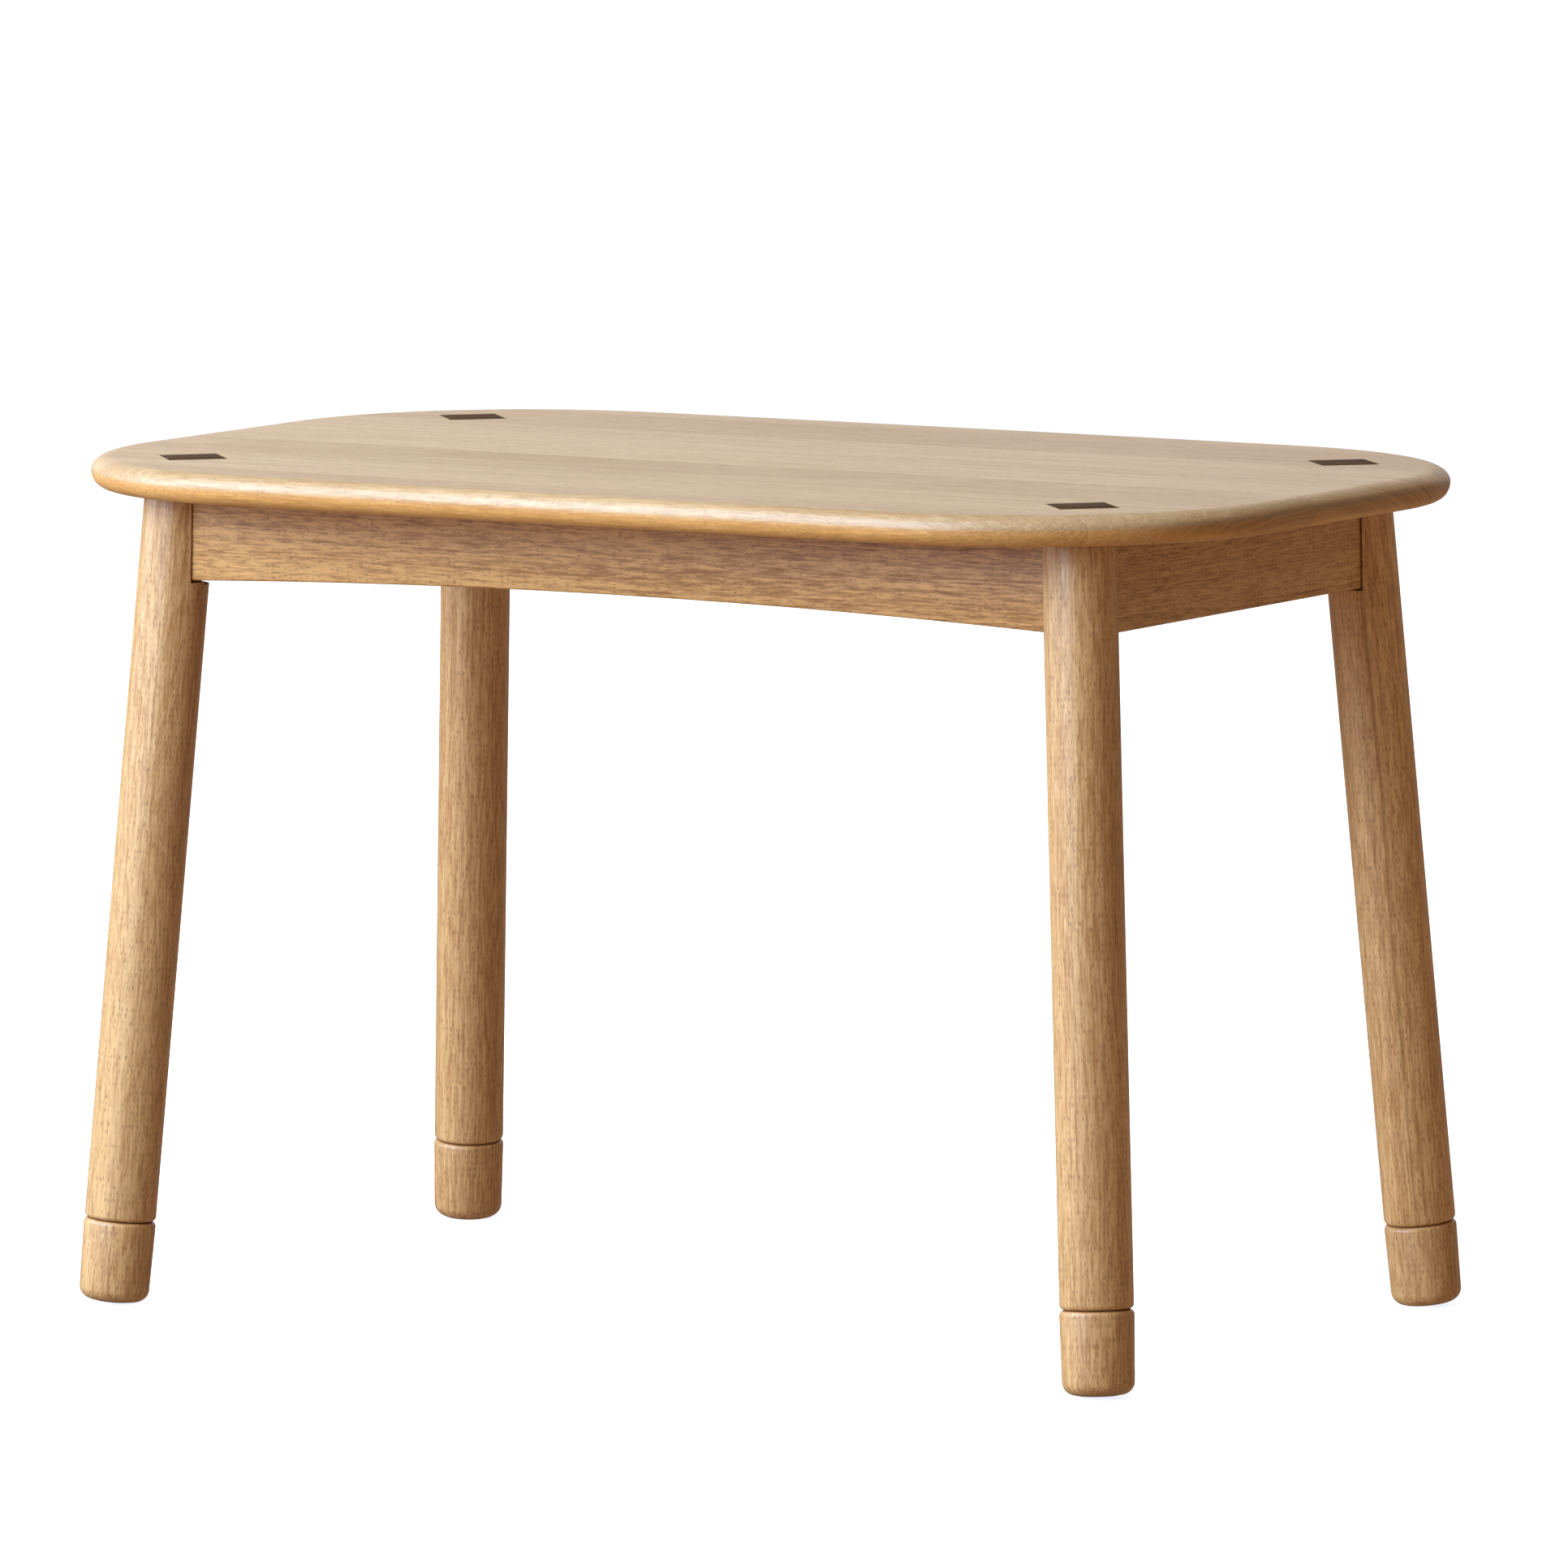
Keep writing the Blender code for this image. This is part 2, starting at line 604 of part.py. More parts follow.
def make_foot(corner):
    """Make a foot, the felt pad under it, its stud and the insert that the stud runs in."""
    up = leg_axis_up(corner)
    seam = leg_axis_point(corner, SEAM_HEIGHT)
    place(turned("foot_" + corner, foot_profile(), "beech_frame", LEG_STEPS), seam, up)
    base = -FOOT_LENGTH - PAD_PROUD
    profile = [(0.0, base + PAD_THICKNESS), (PAD_RADIUS, base + PAD_THICKNESS), (PAD_RADIUS, base), (0.0, base)]
    place(turned("foot_pad_" + corner, profile, "felt", LEG_STEPS), seam, up)
    low = -STUD_DEPTH
    profile = [(0.0, STUD_RISE), (STUD_RADIUS - STUD_CHAMFER, STUD_RISE),
               (STUD_RADIUS, STUD_RISE - STUD_CHAMFER), (STUD_RADIUS, low + STUD_CHAMFER),
               (STUD_RADIUS - STUD_CHAMFER, low), (0.0, low)]
    place(turned("foot_stud_" + corner, profile, "steel", THREAD_STEPS), seam, up)
    low = GAP / 2.0 + INSERT_RECESS
    flange = low + INSERT_FLANGE_THICKNESS
    bore = STUD_RADIUS + GAP
    profile = [(bore, low + INSERT_LENGTH), (INSERT_RADIUS, low + INSERT_LENGTH), (INSERT_RADIUS, flange),
               (INSERT_FLANGE_RADIUS, flange), (INSERT_FLANGE_RADIUS, low), (bore, low)]
    place(turned("leg_insert_" + corner, profile, "brass", THREAD_STEPS), seam, up)


# ---------------------------------------------------------------- corner blocks and fasteners

def make_corner_block(corner):
    """Make the beech block across a corner of the frame, drilled for its bolt and screws."""
    near = BLOCK_NEAR
    far = BLOCK_FAR
    end = BLOCK_END
    reach = [(GAP, near), (GAP, far), (end, far), (far, end), (far, GAP), (near, GAP)]
    outline = [(INNER_X - along, INNER_Y - across) for across, along in reach]
    block = outline_solid("corner_block_" + corner, signed(corner, outline), BLOCK_HEIGHT, "beech_inner")
    block.location = (0.0, 0.0, UNDERSIDE - GAP - BLOCK_HEIGHT / 2.0)
    start = bolt_point(corner, far)
    cut(block, rod_cutter("cut_block_bolt_" + corner, start, bolt_direction(corner), 2 * far,
                          BOLT_RADIUS + GAP, SCREW_STEPS))
    seat = frame_corner(corner, TOP_SCREW_ALONG, TOP_SCREW_ACROSS, UNDERSIDE - TOP_SCREW_SEAT)
    cut(block, screw_cutter("cut_block_top_" + corner, seat, (0, 0, 1)))
    for apron in ("long", "side"):
        seat, direction = side_screw(corner, apron)
        cut(block, screw_cutter("cut_block_" + apron + "_" + corner, seat, direction))


def make_screw(name, seat, direction, length):
    """Make a wood screw whose head sits at a seat, with its shank along a direction."""
    end = -GAP - SCREW_HEAD_THICKNESS
    profile = [(0.0, length), (SCREW_TIP_RADIUS, length - GAP), (SCREW_RADIUS, length - SCREW_TIP),
               (SCREW_RADIUS, -GAP), (SCREW_HEAD_RADIUS, -GAP), (SCREW_HEAD_RADIUS, -GAP - SCREW_HEAD_SIDE),
               (SCREW_HEAD_TOP_RADIUS, end), (0.0, end)]
    place(turned(name, profile, "steel", SCREW_STEPS), seat, direction)


def make_leg_bolt(corner):
    """Make the bolt that draws a leg into its corner, with its washer and nut."""
    outwards = bolt_direction(corner)
    face = (BLOCK_FAR + BLOCK_END) / math.sqrt(2.0) + GAP
    washer_end = face + WASHER_THICKNESS
    nut_start = washer_end + GAP
    nut_end = nut_start + NUT_THICKNESS
    tail = nut_end + BOLT_TAIL
    length = tail - bolt_end_inside()
    chamfer = STUD_CHAMFER
    profile = [(0.0, length), (BOLT_RADIUS - chamfer, length), (BOLT_RADIUS, length - chamfer),
               (BOLT_RADIUS, chamfer), (BOLT_RADIUS - chamfer, 0.0), (0.0, 0.0)]
    place(turned("leg_bolt_" + corner, profile, "steel", SCREW_STEPS), bolt_point(corner, tail), outwards)
    bore = BOLT_RADIUS + GAP
    profile = [(bore, WASHER_THICKNESS), (WASHER_RADIUS, WASHER_THICKNESS), (WASHER_RADIUS, 0.0), (bore, 0.0)]
    washer = turned("leg_washer_" + corner, profile, "steel", THREAD_STEPS)
    place(washer, bolt_point(corner, washer_end), outwards)
    corner_radius = NUT_ACROSS_FLATS / math.sqrt(3.0)
    hexagon = arc_points((0.0, 0.0), corner_radius, 0.0, 2.0 * math.pi, 6)
    nut = outline_solid("leg_nut_" + corner, hexagon, NUT_THICKNESS, "steel")
    place(nut, bolt_point(corner, (nut_start + nut_end) / 2.0), outwards)
    start = bolt_point(corner, nut_end + BOLT_TAIL)
    cut(nut, rod_cutter("cut_nut_" + corner, start, outwards, NUT_BORE_LENGTH, bore, SCREW_STEPS))


def make_block_screws(corner):
    """Make the three screws through a corner block: up into the top and out into both aprons."""
    seat = frame_corner(corner, TOP_SCREW_ALONG, TOP_SCREW_ACROSS, UNDERSIDE - TOP_SCREW_SEAT)
    make_screw("top_screw_" + corner, seat, (0, 0, 1), TOP_SCREW_LENGTH)
    for apron in ("long", "side"):
        seat, direction = side_screw(corner, apron)
        make_screw(apron + "_apron_screw_" + corner, seat, direction, SIDE_SCREW_LENGTH)


# ---------------------------------------------------------------- build

clear_scene()
PARTS = new_collection("children_table")
CUTTERS = new_collection("cutters")

make_tabletop()
make_aprons()
for corner_name in CORNERS:
    make_inlay(corner_name)
    make_leg(corner_name)
    make_foot(corner_name)
    make_corner_block(corner_name)
    make_leg_bolt(corner_name)
    make_block_screws(corner_name)
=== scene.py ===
"""Children's table in oiled beech, built as an add-on around its packed frame.

Metres, +Z up.  The frame gives every place: the tabletop, four aprons, four splayed round legs and
the turned feet that screw out of them on threaded studs.  Each operator models one piece, or one
group of like pieces, and ties it to the body that it moves with.
"""

import json
import math

import bmesh
import bpy
from bpy.props import FloatProperty, FloatVectorProperty, IntProperty, PointerProperty
from bpy.types import Operator, Panel, PropertyGroup
from mathutils import Matrix, Vector


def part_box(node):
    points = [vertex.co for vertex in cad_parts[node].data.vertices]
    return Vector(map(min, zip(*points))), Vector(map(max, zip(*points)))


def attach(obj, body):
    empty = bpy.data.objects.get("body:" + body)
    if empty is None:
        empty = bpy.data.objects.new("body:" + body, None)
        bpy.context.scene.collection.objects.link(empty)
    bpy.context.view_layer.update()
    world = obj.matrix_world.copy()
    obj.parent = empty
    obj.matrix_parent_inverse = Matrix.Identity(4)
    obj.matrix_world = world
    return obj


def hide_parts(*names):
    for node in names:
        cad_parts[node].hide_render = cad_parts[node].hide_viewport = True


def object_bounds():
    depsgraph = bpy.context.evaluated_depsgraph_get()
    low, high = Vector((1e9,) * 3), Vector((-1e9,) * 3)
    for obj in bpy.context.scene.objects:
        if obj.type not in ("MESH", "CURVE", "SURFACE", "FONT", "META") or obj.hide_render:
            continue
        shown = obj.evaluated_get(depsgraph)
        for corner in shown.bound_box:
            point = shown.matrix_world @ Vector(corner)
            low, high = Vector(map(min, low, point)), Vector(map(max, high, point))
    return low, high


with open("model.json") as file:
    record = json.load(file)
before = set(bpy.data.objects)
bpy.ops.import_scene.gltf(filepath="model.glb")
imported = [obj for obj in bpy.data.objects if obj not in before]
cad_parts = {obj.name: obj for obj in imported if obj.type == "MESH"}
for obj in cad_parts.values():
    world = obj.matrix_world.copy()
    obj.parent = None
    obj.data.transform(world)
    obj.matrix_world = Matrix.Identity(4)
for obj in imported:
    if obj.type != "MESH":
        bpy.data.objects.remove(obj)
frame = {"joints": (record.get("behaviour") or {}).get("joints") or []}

bl_info = {
    "name": "Children's Beech Table",
    "version": (1, 0, 0),
    "blender": (4, 5, 0),
    "location": "View3D > Sidebar > Table",
    "description": "Models a children's table in oiled beech with screw-in feet around its frame",
    "category": "Object",
}

CAD_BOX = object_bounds()

CORNERS = {
    "front_left": (-1, -1),
    "front_right": (1, -1),
    "back_left": (-1, 1),
    "back_right": (1, 1),
}

# ---------------------------------------------------------------- places taken from the frame

TOP_LOW, TOP_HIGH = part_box("tabletop")
UNDERSIDE = TOP_LOW.z
APRON_LOW, APRON_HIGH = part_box("apron_back")
SIDE_LOW, SIDE_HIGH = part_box("apron_right")
INNER_X = SIDE_LOW.x
INNER_Y = APRON_LOW.y

# Room between a part and what it sits in, and how far a cutter passes the face that it opens.
CLEAR = 0.0003
THROUGH = 0.01


def facing(point, direction):
    """Give the matrix that puts a piece's origin at a point with its own Z along a direction."""
    turn = Vector(direction).to_track_quat("Z", "Y").to_matrix().to_4x4()
    return Matrix.Translation(point) @ turn


def joint_of(corner):
    """Give the record of the joint that a foot turns on."""
    return next(item for item in frame["joints"] if item["name"] == "foot_screw_" + corner)


def leg_up(corner):
    """Give the unit vector up a leg's axis."""
    return -Vector(joint_of(corner)["axis"])


def leg_place(corner):
    """Give the matrix that stands a piece turned about Z on a leg's axis, from the foot's seam."""
    return facing(joint_of(corner)["pos_m"], leg_up(corner))


def leg_point(corner, height):
    """Give the point of a leg's axis at a height above the floor."""
    seam = Vector(joint_of(corner)["pos_m"])
    up = leg_up(corner)
    return seam + up * ((height - seam.z) / up.z)


def inside_corner(corner, along, across, height):
    """Give a point inside the frame: along the long apron and across it, from the inner corner."""
    side_x, side_y = CORNERS[corner]
    return Vector((side_x * (INNER_X - along), side_y * (INNER_Y - across), height))


# ---------------------------------------------------------------- sizes and colours

def length(name, description, default):
    """Declare a length that the user can change."""
    return FloatProperty(name=name, description=description, default=default, min=0.0,
                         unit="LENGTH", precision=4)


def count(name, description, default):
    """Declare a whole number that the user can change."""
    return IntProperty(name=name, description=description, default=default, min=1)


def colour(name, description, default):
    """Declare a colour that the user can change."""
    return FloatVectorProperty(name=name, description=description, default=default, size=3,
                               min=0.0, max=1.0, subtype="COLOR")


class TableTopSizes(PropertyGroup):
    """Sizes of the tabletop and its inlays"""
    corner_radius: length("Corner radius", "Radius of the wide corners in plan", 0.168)
    side_bow: length("Side bow radius", "Radius of the gentle bow along the long sides", 10.7)
    upper_inset: length("Upper rounding depth", "How far the upper rounding reaches in from the edge", 0.0124)
    upper_rise: length("Upper rounding height", "How far the upper rounding drops down the edge", 0.0084)
    lower_inset: length("Lower rounding depth", "How far the lower rounding reaches in from the edge", 0.0086)
    land: length("Edge land", "Upright land between the two roundings", 0.0002)
    corner_segments: count("Corner segments", "Segments round each corner in plan", 30)
    edge_segments: count("Edge segments", "Segments round each half of the edge", 9)
    inlay_depth: length("Inlay thickness", "Thickness of the walnut squares", 0.006)
    inlay_ease: length("Inlay edge", "Eased edge of the walnut squares", 0.0003)


class FrameSizes(PropertyGroup):
    """Sizes of the aprons, legs and corner blocks"""
    apron_arch: length("Apron arch", "Rise of the long aprons' lower edge at the middle", 0.0069)
    apron_ease: length("Apron edge", "Rounding of the aprons' edges", 0.0015)
    leg_radius: length("Leg radius", "Radius of the round legs", 0.02165)
    leg_end: length("Leg end rounding", "Rounding of the leg above the foot's seam", 0.0028)
    leg_core: length("Leg core", "Wood left between a leg's axis and an apron's end", 0.0145)
    leg_flat: length("Leg corner flat", "Distance from a leg's axis to the flat on its inner corner", 0.016)
    housing_room: length("Housing room", "Shadow gap left round an apron where it enters a leg", 0.0013)
    spigot_radius: length("Spigot radius", "Radius of the spigot that stands up into the top", 0.011)
    spigot_rise: length("Spigot height", "Height of the spigot above the leg's head", 0.008)
    block_near: length("Block inner chamfer", "Reach of the chamfer at a corner block's inner corner", 0.0106)
    block_end: length("Block end", "Thickness of a corner block at its two ends", 0.006)
    block_ease: length("Block edge", "Rounding of a corner block's edges", 0.0008)


class FootSizes(PropertyGroup):
    """Sizes of the feet, studs, inserts and pads"""
    top_radius: length("Top radius", "Radius of a foot at the seam", 0.0219)
    base_radius: length("Base radius", "Radius of a foot above its rounded base", 0.0211)
    top_round: length("Top rounding", "Rounding of the foot below the seam", 0.003)
    base_round: length("Base rounding", "Rounding of the foot at the floor", 0.0075)
    pad_radius: length("Pad radius", "Radius of the felt pad", 0.012)
    pad_thickness: length("Pad thickness", "Thickness of the felt pad", 0.002)
    pad_proud: length("Pad standing proud", "How far the felt stands proud of the foot", 0.0005)
    stud_radius: length("Stud radius", "Outer radius of the stud's thread", 0.004)
    stud_rise: length("Stud above the seam", "Length of the stud above the seam", 0.030)
    stud_depth: length("Stud below the seam", "Length of the stud held in the foot", 0.028)
    stud_pitch: length("Stud pitch", "Pitch of the stud's thread", 0.00125)
    insert_radius: length("Insert radius", "Outer radius of the brass insert", 0.006)
    flange_radius: length("Flange radius", "Radius of the insert's flange", 0.008)
    flange_thickness: length("Flange thickness", "Thickness of the insert's flange", 0.0015)
    insert_length: length("Insert length", "Length of the insert with its flange", 0.016)
    insert_recess: length("Insert recess", "Depth of the flange above the leg's end", 0.0005)


class FixingSizes(PropertyGroup):
    """Sizes of the bolts, washers, nuts and screws"""
    bolt_radius: length("Bolt radius", "Outer radius of the leg bolt's thread", 0.003)
    bolt_chamfer: length("Bolt chamfer", "Chamfer at both ends of the bolt", 0.001)
    bolt_pitch: length("Bolt pitch", "Pitch of the leg bolt's thread", 0.001)
    bolt_height: length("Bolt height", "Height of the leg bolts above the floor", 0.468)
    bolt_tail: length("Bolt tail", "Length of bolt showing past its nut", 0.0022)
    washer_radius: length("Washer radius", "Outer radius of the washers", 0.007)
    washer_thickness: length("Washer thickness", "Thickness of the washers", 0.0012)
    nut_flats: length("Nut across flats", "Width of the nuts across their flats", 0.010)
    nut_thickness: length("Nut thickness", "Thickness of the nuts", 0.005)
    screw_radius: length("Screw radius", "Outer radius of the wood screws' thread", 0.002)
    screw_pitch: length("Screw pitch", "Pitch of the wood screws' thread", 0.0018)
    screw_tip: length("Screw tip", "Length of the wood screws' point", 0.004)
    head_radius: length("Screw head radius", "Radius of the wood screws' heads", 0.004)
    head_thickness: length("Screw head height", "Height of the wood screws' heads", 0.0022)
    bore_radius: length("Counterbore radius", "Radius of the counterbores in the corner blocks", 0.0046)
    top_screw_length: length("Top screw length", "Length of the screws up into the top", 0.025)
    side_screw_length: length("Side screw length", "Length of the screws into the aprons", 0.020)


class TableColours(PropertyGroup):
    """Colours of the woods, metals and felt"""
    beech_light: colour("Beech, light", "Early wood of the beech", (0.800, 0.485, 0.205))
    beech_dark: colour("Beech, dark", "Late wood of the beech", (0.420, 0.185, 0.050))
    beech_fleck: colour("Beech fleck", "Ray flecks of the beech", (0.235, 0.090, 0.026))
    # The long aprons' two colours are a darker copy of the beech: painted shade that tones their lit faces
    # down.
    shaded_apron_light: colour("Long apron, light", "Early wood of the long aprons", (0.750, 0.400, 0.135))
    shaded_apron_dark: colour("Long apron, dark", "Late wood of the long aprons", (0.345, 0.135, 0.030))
    top_light: colour("Top, light", "Early wood of the oiled top", (0.690, 0.462, 0.240))
    top_dark: colour("Top, dark", "Late wood of the oiled top", (0.450, 0.260, 0.108))
    walnut_light: colour("Walnut, light", "Early wood of the walnut", (0.125, 0.055, 0.020))
    walnut_dark: colour("Walnut, dark", "Late wood of the walnut", (0.046, 0.019, 0.007))
    steel: colour("Steel", "Zinc-plated steel", (0.580, 0.580, 0.570))
    brass: colour("Brass", "Machined brass", (0.660, 0.490, 0.230))
    felt: colour("Felt", "Pressed wool felt", (0.300, 0.250, 0.200))
    floor: colour("Floor", "Pale studio floor", (0.900, 0.900, 0.900))


# ---------------------------------------------------------------- modelling tools

# Sides of turned wood, of small turned pieces and of threads.
LATHE_SIDES = 96
SMALL_SIDES = 48
THREAD_SIDES = 24

# The largest angle in degrees between faces that are shaded smooth.
PLAIN_SHADING = 32.0
THREAD_SHADING = 25.0

# A thread's crest within its pitch, its end's radius as a share of the root, and a point's of the crest.
TOOTH_CREST = (0.42, 0.58)
CHAMFER_SHARE = 0.85
POINT_SHARE = 0.12

# The distance that counts as none, and the share of a normal along Z that counts as level.
WELD = 0.000001
LEVEL = 0.99


def deselect():
    """Leave nothing selected, in object mode."""
    if bpy.context.mode != "OBJECT":
        bpy.ops.object.mode_set(mode="OBJECT")
    bpy.ops.object.select_all(action="DESELECT")


def only(piece):
    """Make one piece active and the only one selected."""
    deselect()
    piece.select_set(True)
    bpy.context.view_layer.objects.active = piece


def edit(piece, action="DESELECT"):
    """Enter edit mode on one piece with nothing in it selected, or all of it."""
    only(piece)
    bpy.ops.object.mode_set(mode="EDIT")
    bpy.ops.mesh.select_all(action=action)


def pick_faces(piece, wanted):
    """Select the faces whose centre and normal pass a test."""
    bpy.ops.mesh.select_mode(type="FACE")
    bpy.ops.mesh.select_all(action="DESELECT")
    cage = bmesh.from_edit_mesh(piece.data)
    for face in cage.faces:
        face.select_set(bool(wanted(face.calc_center_median(), face.normal)))
    bmesh.update_edit_mesh(piece.data)


def pick_edges(piece, wanted):
    """Select the edges whose two ends pass a test."""
    bpy.ops.mesh.select_mode(type="EDGE")
    bpy.ops.mesh.select_all(action="DESELECT")
    cage = bmesh.from_edit_mesh(piece.data)
    for edge in cage.edges:
        edge.select_set(bool(wanted(edge.verts[0].co, edge.verts[1].co)))
    bmesh.update_edit_mesh(piece.data)


def named(name):
    """Name the new primitive and put its place into its mesh."""
    piece = bpy.context.active_object
    piece.name = name
    piece.data.name = name
    bpy.ops.object.transform_apply(location=True, rotation=True, scale=True)
    return piece


def add_block(name, low, high):
    """Add a box between two corners."""
    deselect()
    low = Vector(low)
    high = Vector(high)
    bpy.ops.mesh.primitive_cube_add(size=1.0, location=(low + high) / 2.0, scale=high - low)
    return named(name)


def add_rod(name, radius, low, high, sides=SMALL_SIDES, top_radius=None):
    """Add a cylinder, or a cone where a top radius is given, standing on Z between two heights."""
    deselect()
    middle = (0.0, 0.0, (low + high) / 2.0)
    bpy.ops.mesh.primitive_cone_add(vertices=sides, radius1=radius, radius2=top_radius or radius,
                                    depth=high - low, location=middle)
    return named(name)


def move(piece, matrix):
    """Move a piece's mesh, leaving its object at the origin."""
    piece.data.transform(matrix)
    piece.data.update()
    return piece


def bevel_ring(piece, height, width, segments):
    """Round the ring of edges that lies at a height on a piece turned about Z."""
    edit(piece)
    pick_edges(piece, lambda a, b: abs(a.z - height) < WELD and abs(b.z - height) < WELD)
    bpy.ops.mesh.bevel(offset=width, segments=segments, profile=0.5, affect="EDGES")
    deselect()


def bevel_ends(piece, low, high, width, segments):
    """Round both ends of a piece turned about Z."""
    bevel_ring(piece, low, width, segments)
    bevel_ring(piece, high, width, segments)


def sink(piece, height, radius, steps):
    """Bore a turned piece from its flat end at a height: each step is a radius and a depth along Z."""
    edit(piece)
    pick_faces(piece, lambda centre, normal: abs(centre.z - height) < WELD and abs(normal.z) > LEVEL)
    for next_radius, depth in steps:
        bpy.ops.mesh.inset(thickness=radius - next_radius)
        bpy.ops.mesh.extrude_region_move(TRANSFORM_OT_translate={"value": (0.0, 0.0, depth)})
        radius = next_radius
    deselect()


def slice_off(piece, point, normal):
    """Cut away what lies beyond a plane and close the cut."""
    edit(piece, "SELECT")
    bpy.ops.mesh.bisect(plane_co=point, plane_no=normal, use_fill=True, clear_outer=True, threshold=WELD)
    deselect()


def ease(piece, width, segments, sharpness=35.0):
    """Round every sharp edge of a piece."""
    edit(piece)
    bpy.ops.mesh.select_mode(type="EDGE")
    bpy.ops.mesh.edges_select_sharp(sharpness=math.radians(sharpness))
    bpy.ops.mesh.bevel(offset=width, segments=segments, profile=0.5, affect="EDGES")
    deselect()


def carve(piece, cutters, operation="DIFFERENCE"):
    """Cut or join a piece with others by exact Booleans, apply them and remove the others."""
    for cutter in cutters:
        only(piece)
        step = piece.modifiers.new("Carve", "BOOLEAN")
        step.operation = operation
        step.solver = "EXACT"
        step.object = cutter
        bpy.ops.object.modifier_apply(modifier=step.name)
        bpy.data.objects.remove(cutter, do_unlink=True)


def twin(piece, name, matrix):
    """Copy a piece with its own mesh to another place."""
    copy = piece.copy()
    copy.data = piece.data.copy()
    copy.name = name
    copy.data.name = name
    bpy.context.scene.collection.objects.link(copy)
    return move(copy, matrix)


def discard(piece):
    """Remove a pattern piece after its copies are made."""
    bpy.data.objects.remove(piece, do_unlink=True)


def thread(name, radius, depth, pitch, low, high, taper):
    """Wind a tooth up Z into a threaded rod between two heights, tapered over a length at each end."""
    deselect()
    bpy.ops.mesh.primitive_plane_add(size=pitch)
    rod = named(name)
    edit(rod, "SELECT")
    bpy.ops.mesh.delete(type="ONLY_FACE")
    pick_edges(rod, lambda a, b: a.x < 0.0 and b.x < 0.0)
    bpy.ops.mesh.delete(type="EDGE")
    cage = bmesh.from_edit_mesh(rod.data)
    chain = [vert for vert in cage.verts if len(vert.link_edges) == 1][:1]
    while len(chain) < len(cage.verts):
        chain += [edge.other_vert(chain[-1]) for edge in chain[-1].link_edges
                  if edge.other_vert(chain[-1]) not in chain]
    start = low - pitch
    root = radius - depth
    tooth = ((root, 0.0), (radius, TOOTH_CREST[0]), (radius, TOOTH_CREST[1]), (root, 1.0))
    for vert, (reach, share) in zip(chain, tooth):
        vert.co = (reach, 0.0, start + pitch * share)
    bmesh.update_edit_mesh(rod.data)
    only(rod)
    turns = rod.modifiers.new("Turns", "SCREW")
    turns.axis = "Z"
    turns.angle = 2.0 * math.pi
    turns.screw_offset = pitch
    turns.iterations = int(math.ceil((high - low) / pitch)) + 2
    turns.steps = THREAD_SIDES
    turns.render_steps = THREAD_SIDES
    turns.use_merge_vertices = True
    turns.merge_threshold = WELD
    bpy.ops.object.modifier_apply(modifier=turns.name)
    edit(rod, "SELECT")
    bpy.ops.mesh.remove_doubles(threshold=WELD)
    deselect()
    slice_off(rod, (0.0, 0.0, low), (0.0, 0.0, -1.0))
    slice_off(rod, (0.0, 0.0, high), (0.0, 0.0, 1.0))
    chamfer = root * CHAMFER_SHARE
    point = radius * POINT_SHARE if taper[1] > radius else chamfer
    for vert in rod.data.vertices:
        reach = Vector(vert.co.xy).length
        start_share = min(1.0, (vert.co.z - low) / taper[0])
        end_share = min(1.0, (high - vert.co.z) / taper[1])
        limit = min(chamfer + (radius - chamfer) * start_share, point + (radius - point) * end_share)
        if reach > limit:
            vert.co.x *= limit / reach
            vert.co.y *= limit / reach
    edit(rod, "SELECT")
    bpy.ops.mesh.normals_make_consistent(inside=False)
    deselect()
    return rod


def crossed_slots(reach, half_width, low, high):
    """Make the two cutters of a cross-shaped recess round Z."""
    slot = add_block("slot", (-reach, -half_width, low), (reach, half_width, high))
    return [slot, twin(slot, "slot_across", Matrix.Rotation(math.pi / 2.0, 4, "Z"))]


def tie(piece, body, node, material, shading=PLAIN_SHADING):
    """Shade a finished piece smooth between its sharp edges, give it its material and tie it to the frame."""
    only(piece)
    bpy.ops.object.shade_smooth_by_angle(angle=math.radians(shading))
    piece.data.materials.clear()
    piece.data.materials.append(material)
    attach(piece, body)
    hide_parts(node)


def copy_to_legs(pattern, name, body, node, materials, shading=PLAIN_SHADING):
    """Copy a pattern to each leg's axis, tie the copies and remove the pattern."""
    for corner in CORNERS:
        piece = twin(pattern, name + corner, leg_place(corner))
        tie(piece, body.format(corner), node + corner, materials[corner], shading)
    discard(pattern)


# ---------------------------------------------------------------- material tools

def wire(tree, kind, inputs=None, **settings):
    """Add a node, apply its settings, and fill its inputs with values or with other nodes' outputs."""
    node = tree.nodes.new(kind)
    for key, value in settings.items():
        setattr(node, key, value)
    for key, value in (inputs or {}).items():
        if isinstance(value, bpy.types.NodeSocket):
            tree.links.new(value, node.inputs[key])
        else:
            node.inputs[key].default_value = value
    return node


def calc(tree, operation, first, second=0.0, third=0.0):
    """Work out one value from others."""
    return wire(tree, "ShaderNodeMath", {0: first, 1: second, 2: third}, operation=operation).outputs[0]


def ramp(tree, value, low, high, out_low=0.0, out_high=1.0):
    """Spread a range of values smoothly over another."""
    inputs = {"Value": value, "From Min": low, "From Max": high, "To Min": out_low, "To Max": out_high}
    return wire(tree, "ShaderNodeMapRange", inputs, interpolation_type="SMOOTHSTEP").outputs[0]


def mix(tree, factor, first, second, blend="MIX"):
    """Blend two colours."""
    def rgba(value):
        return value if isinstance(value, bpy.types.NodeSocket) else (*value, 1.0)
    node = wire(tree, "ShaderNodeMix", {0: factor, 6: rgba(first), 7: rgba(second)}, data_type="RGBA",
                blend_type=blend, clamp_factor=True)
    return node.outputs[2]


def stretch(tree, vector, factors, shift=(0.0, 0.0, 0.0)):
    """Scale a vector by a factor along each axis and shift it."""
    inputs = {"Vector": vector, "Scale": factors, "Location": shift}
    return wire(tree, "ShaderNodeMapping", inputs).outputs[0]


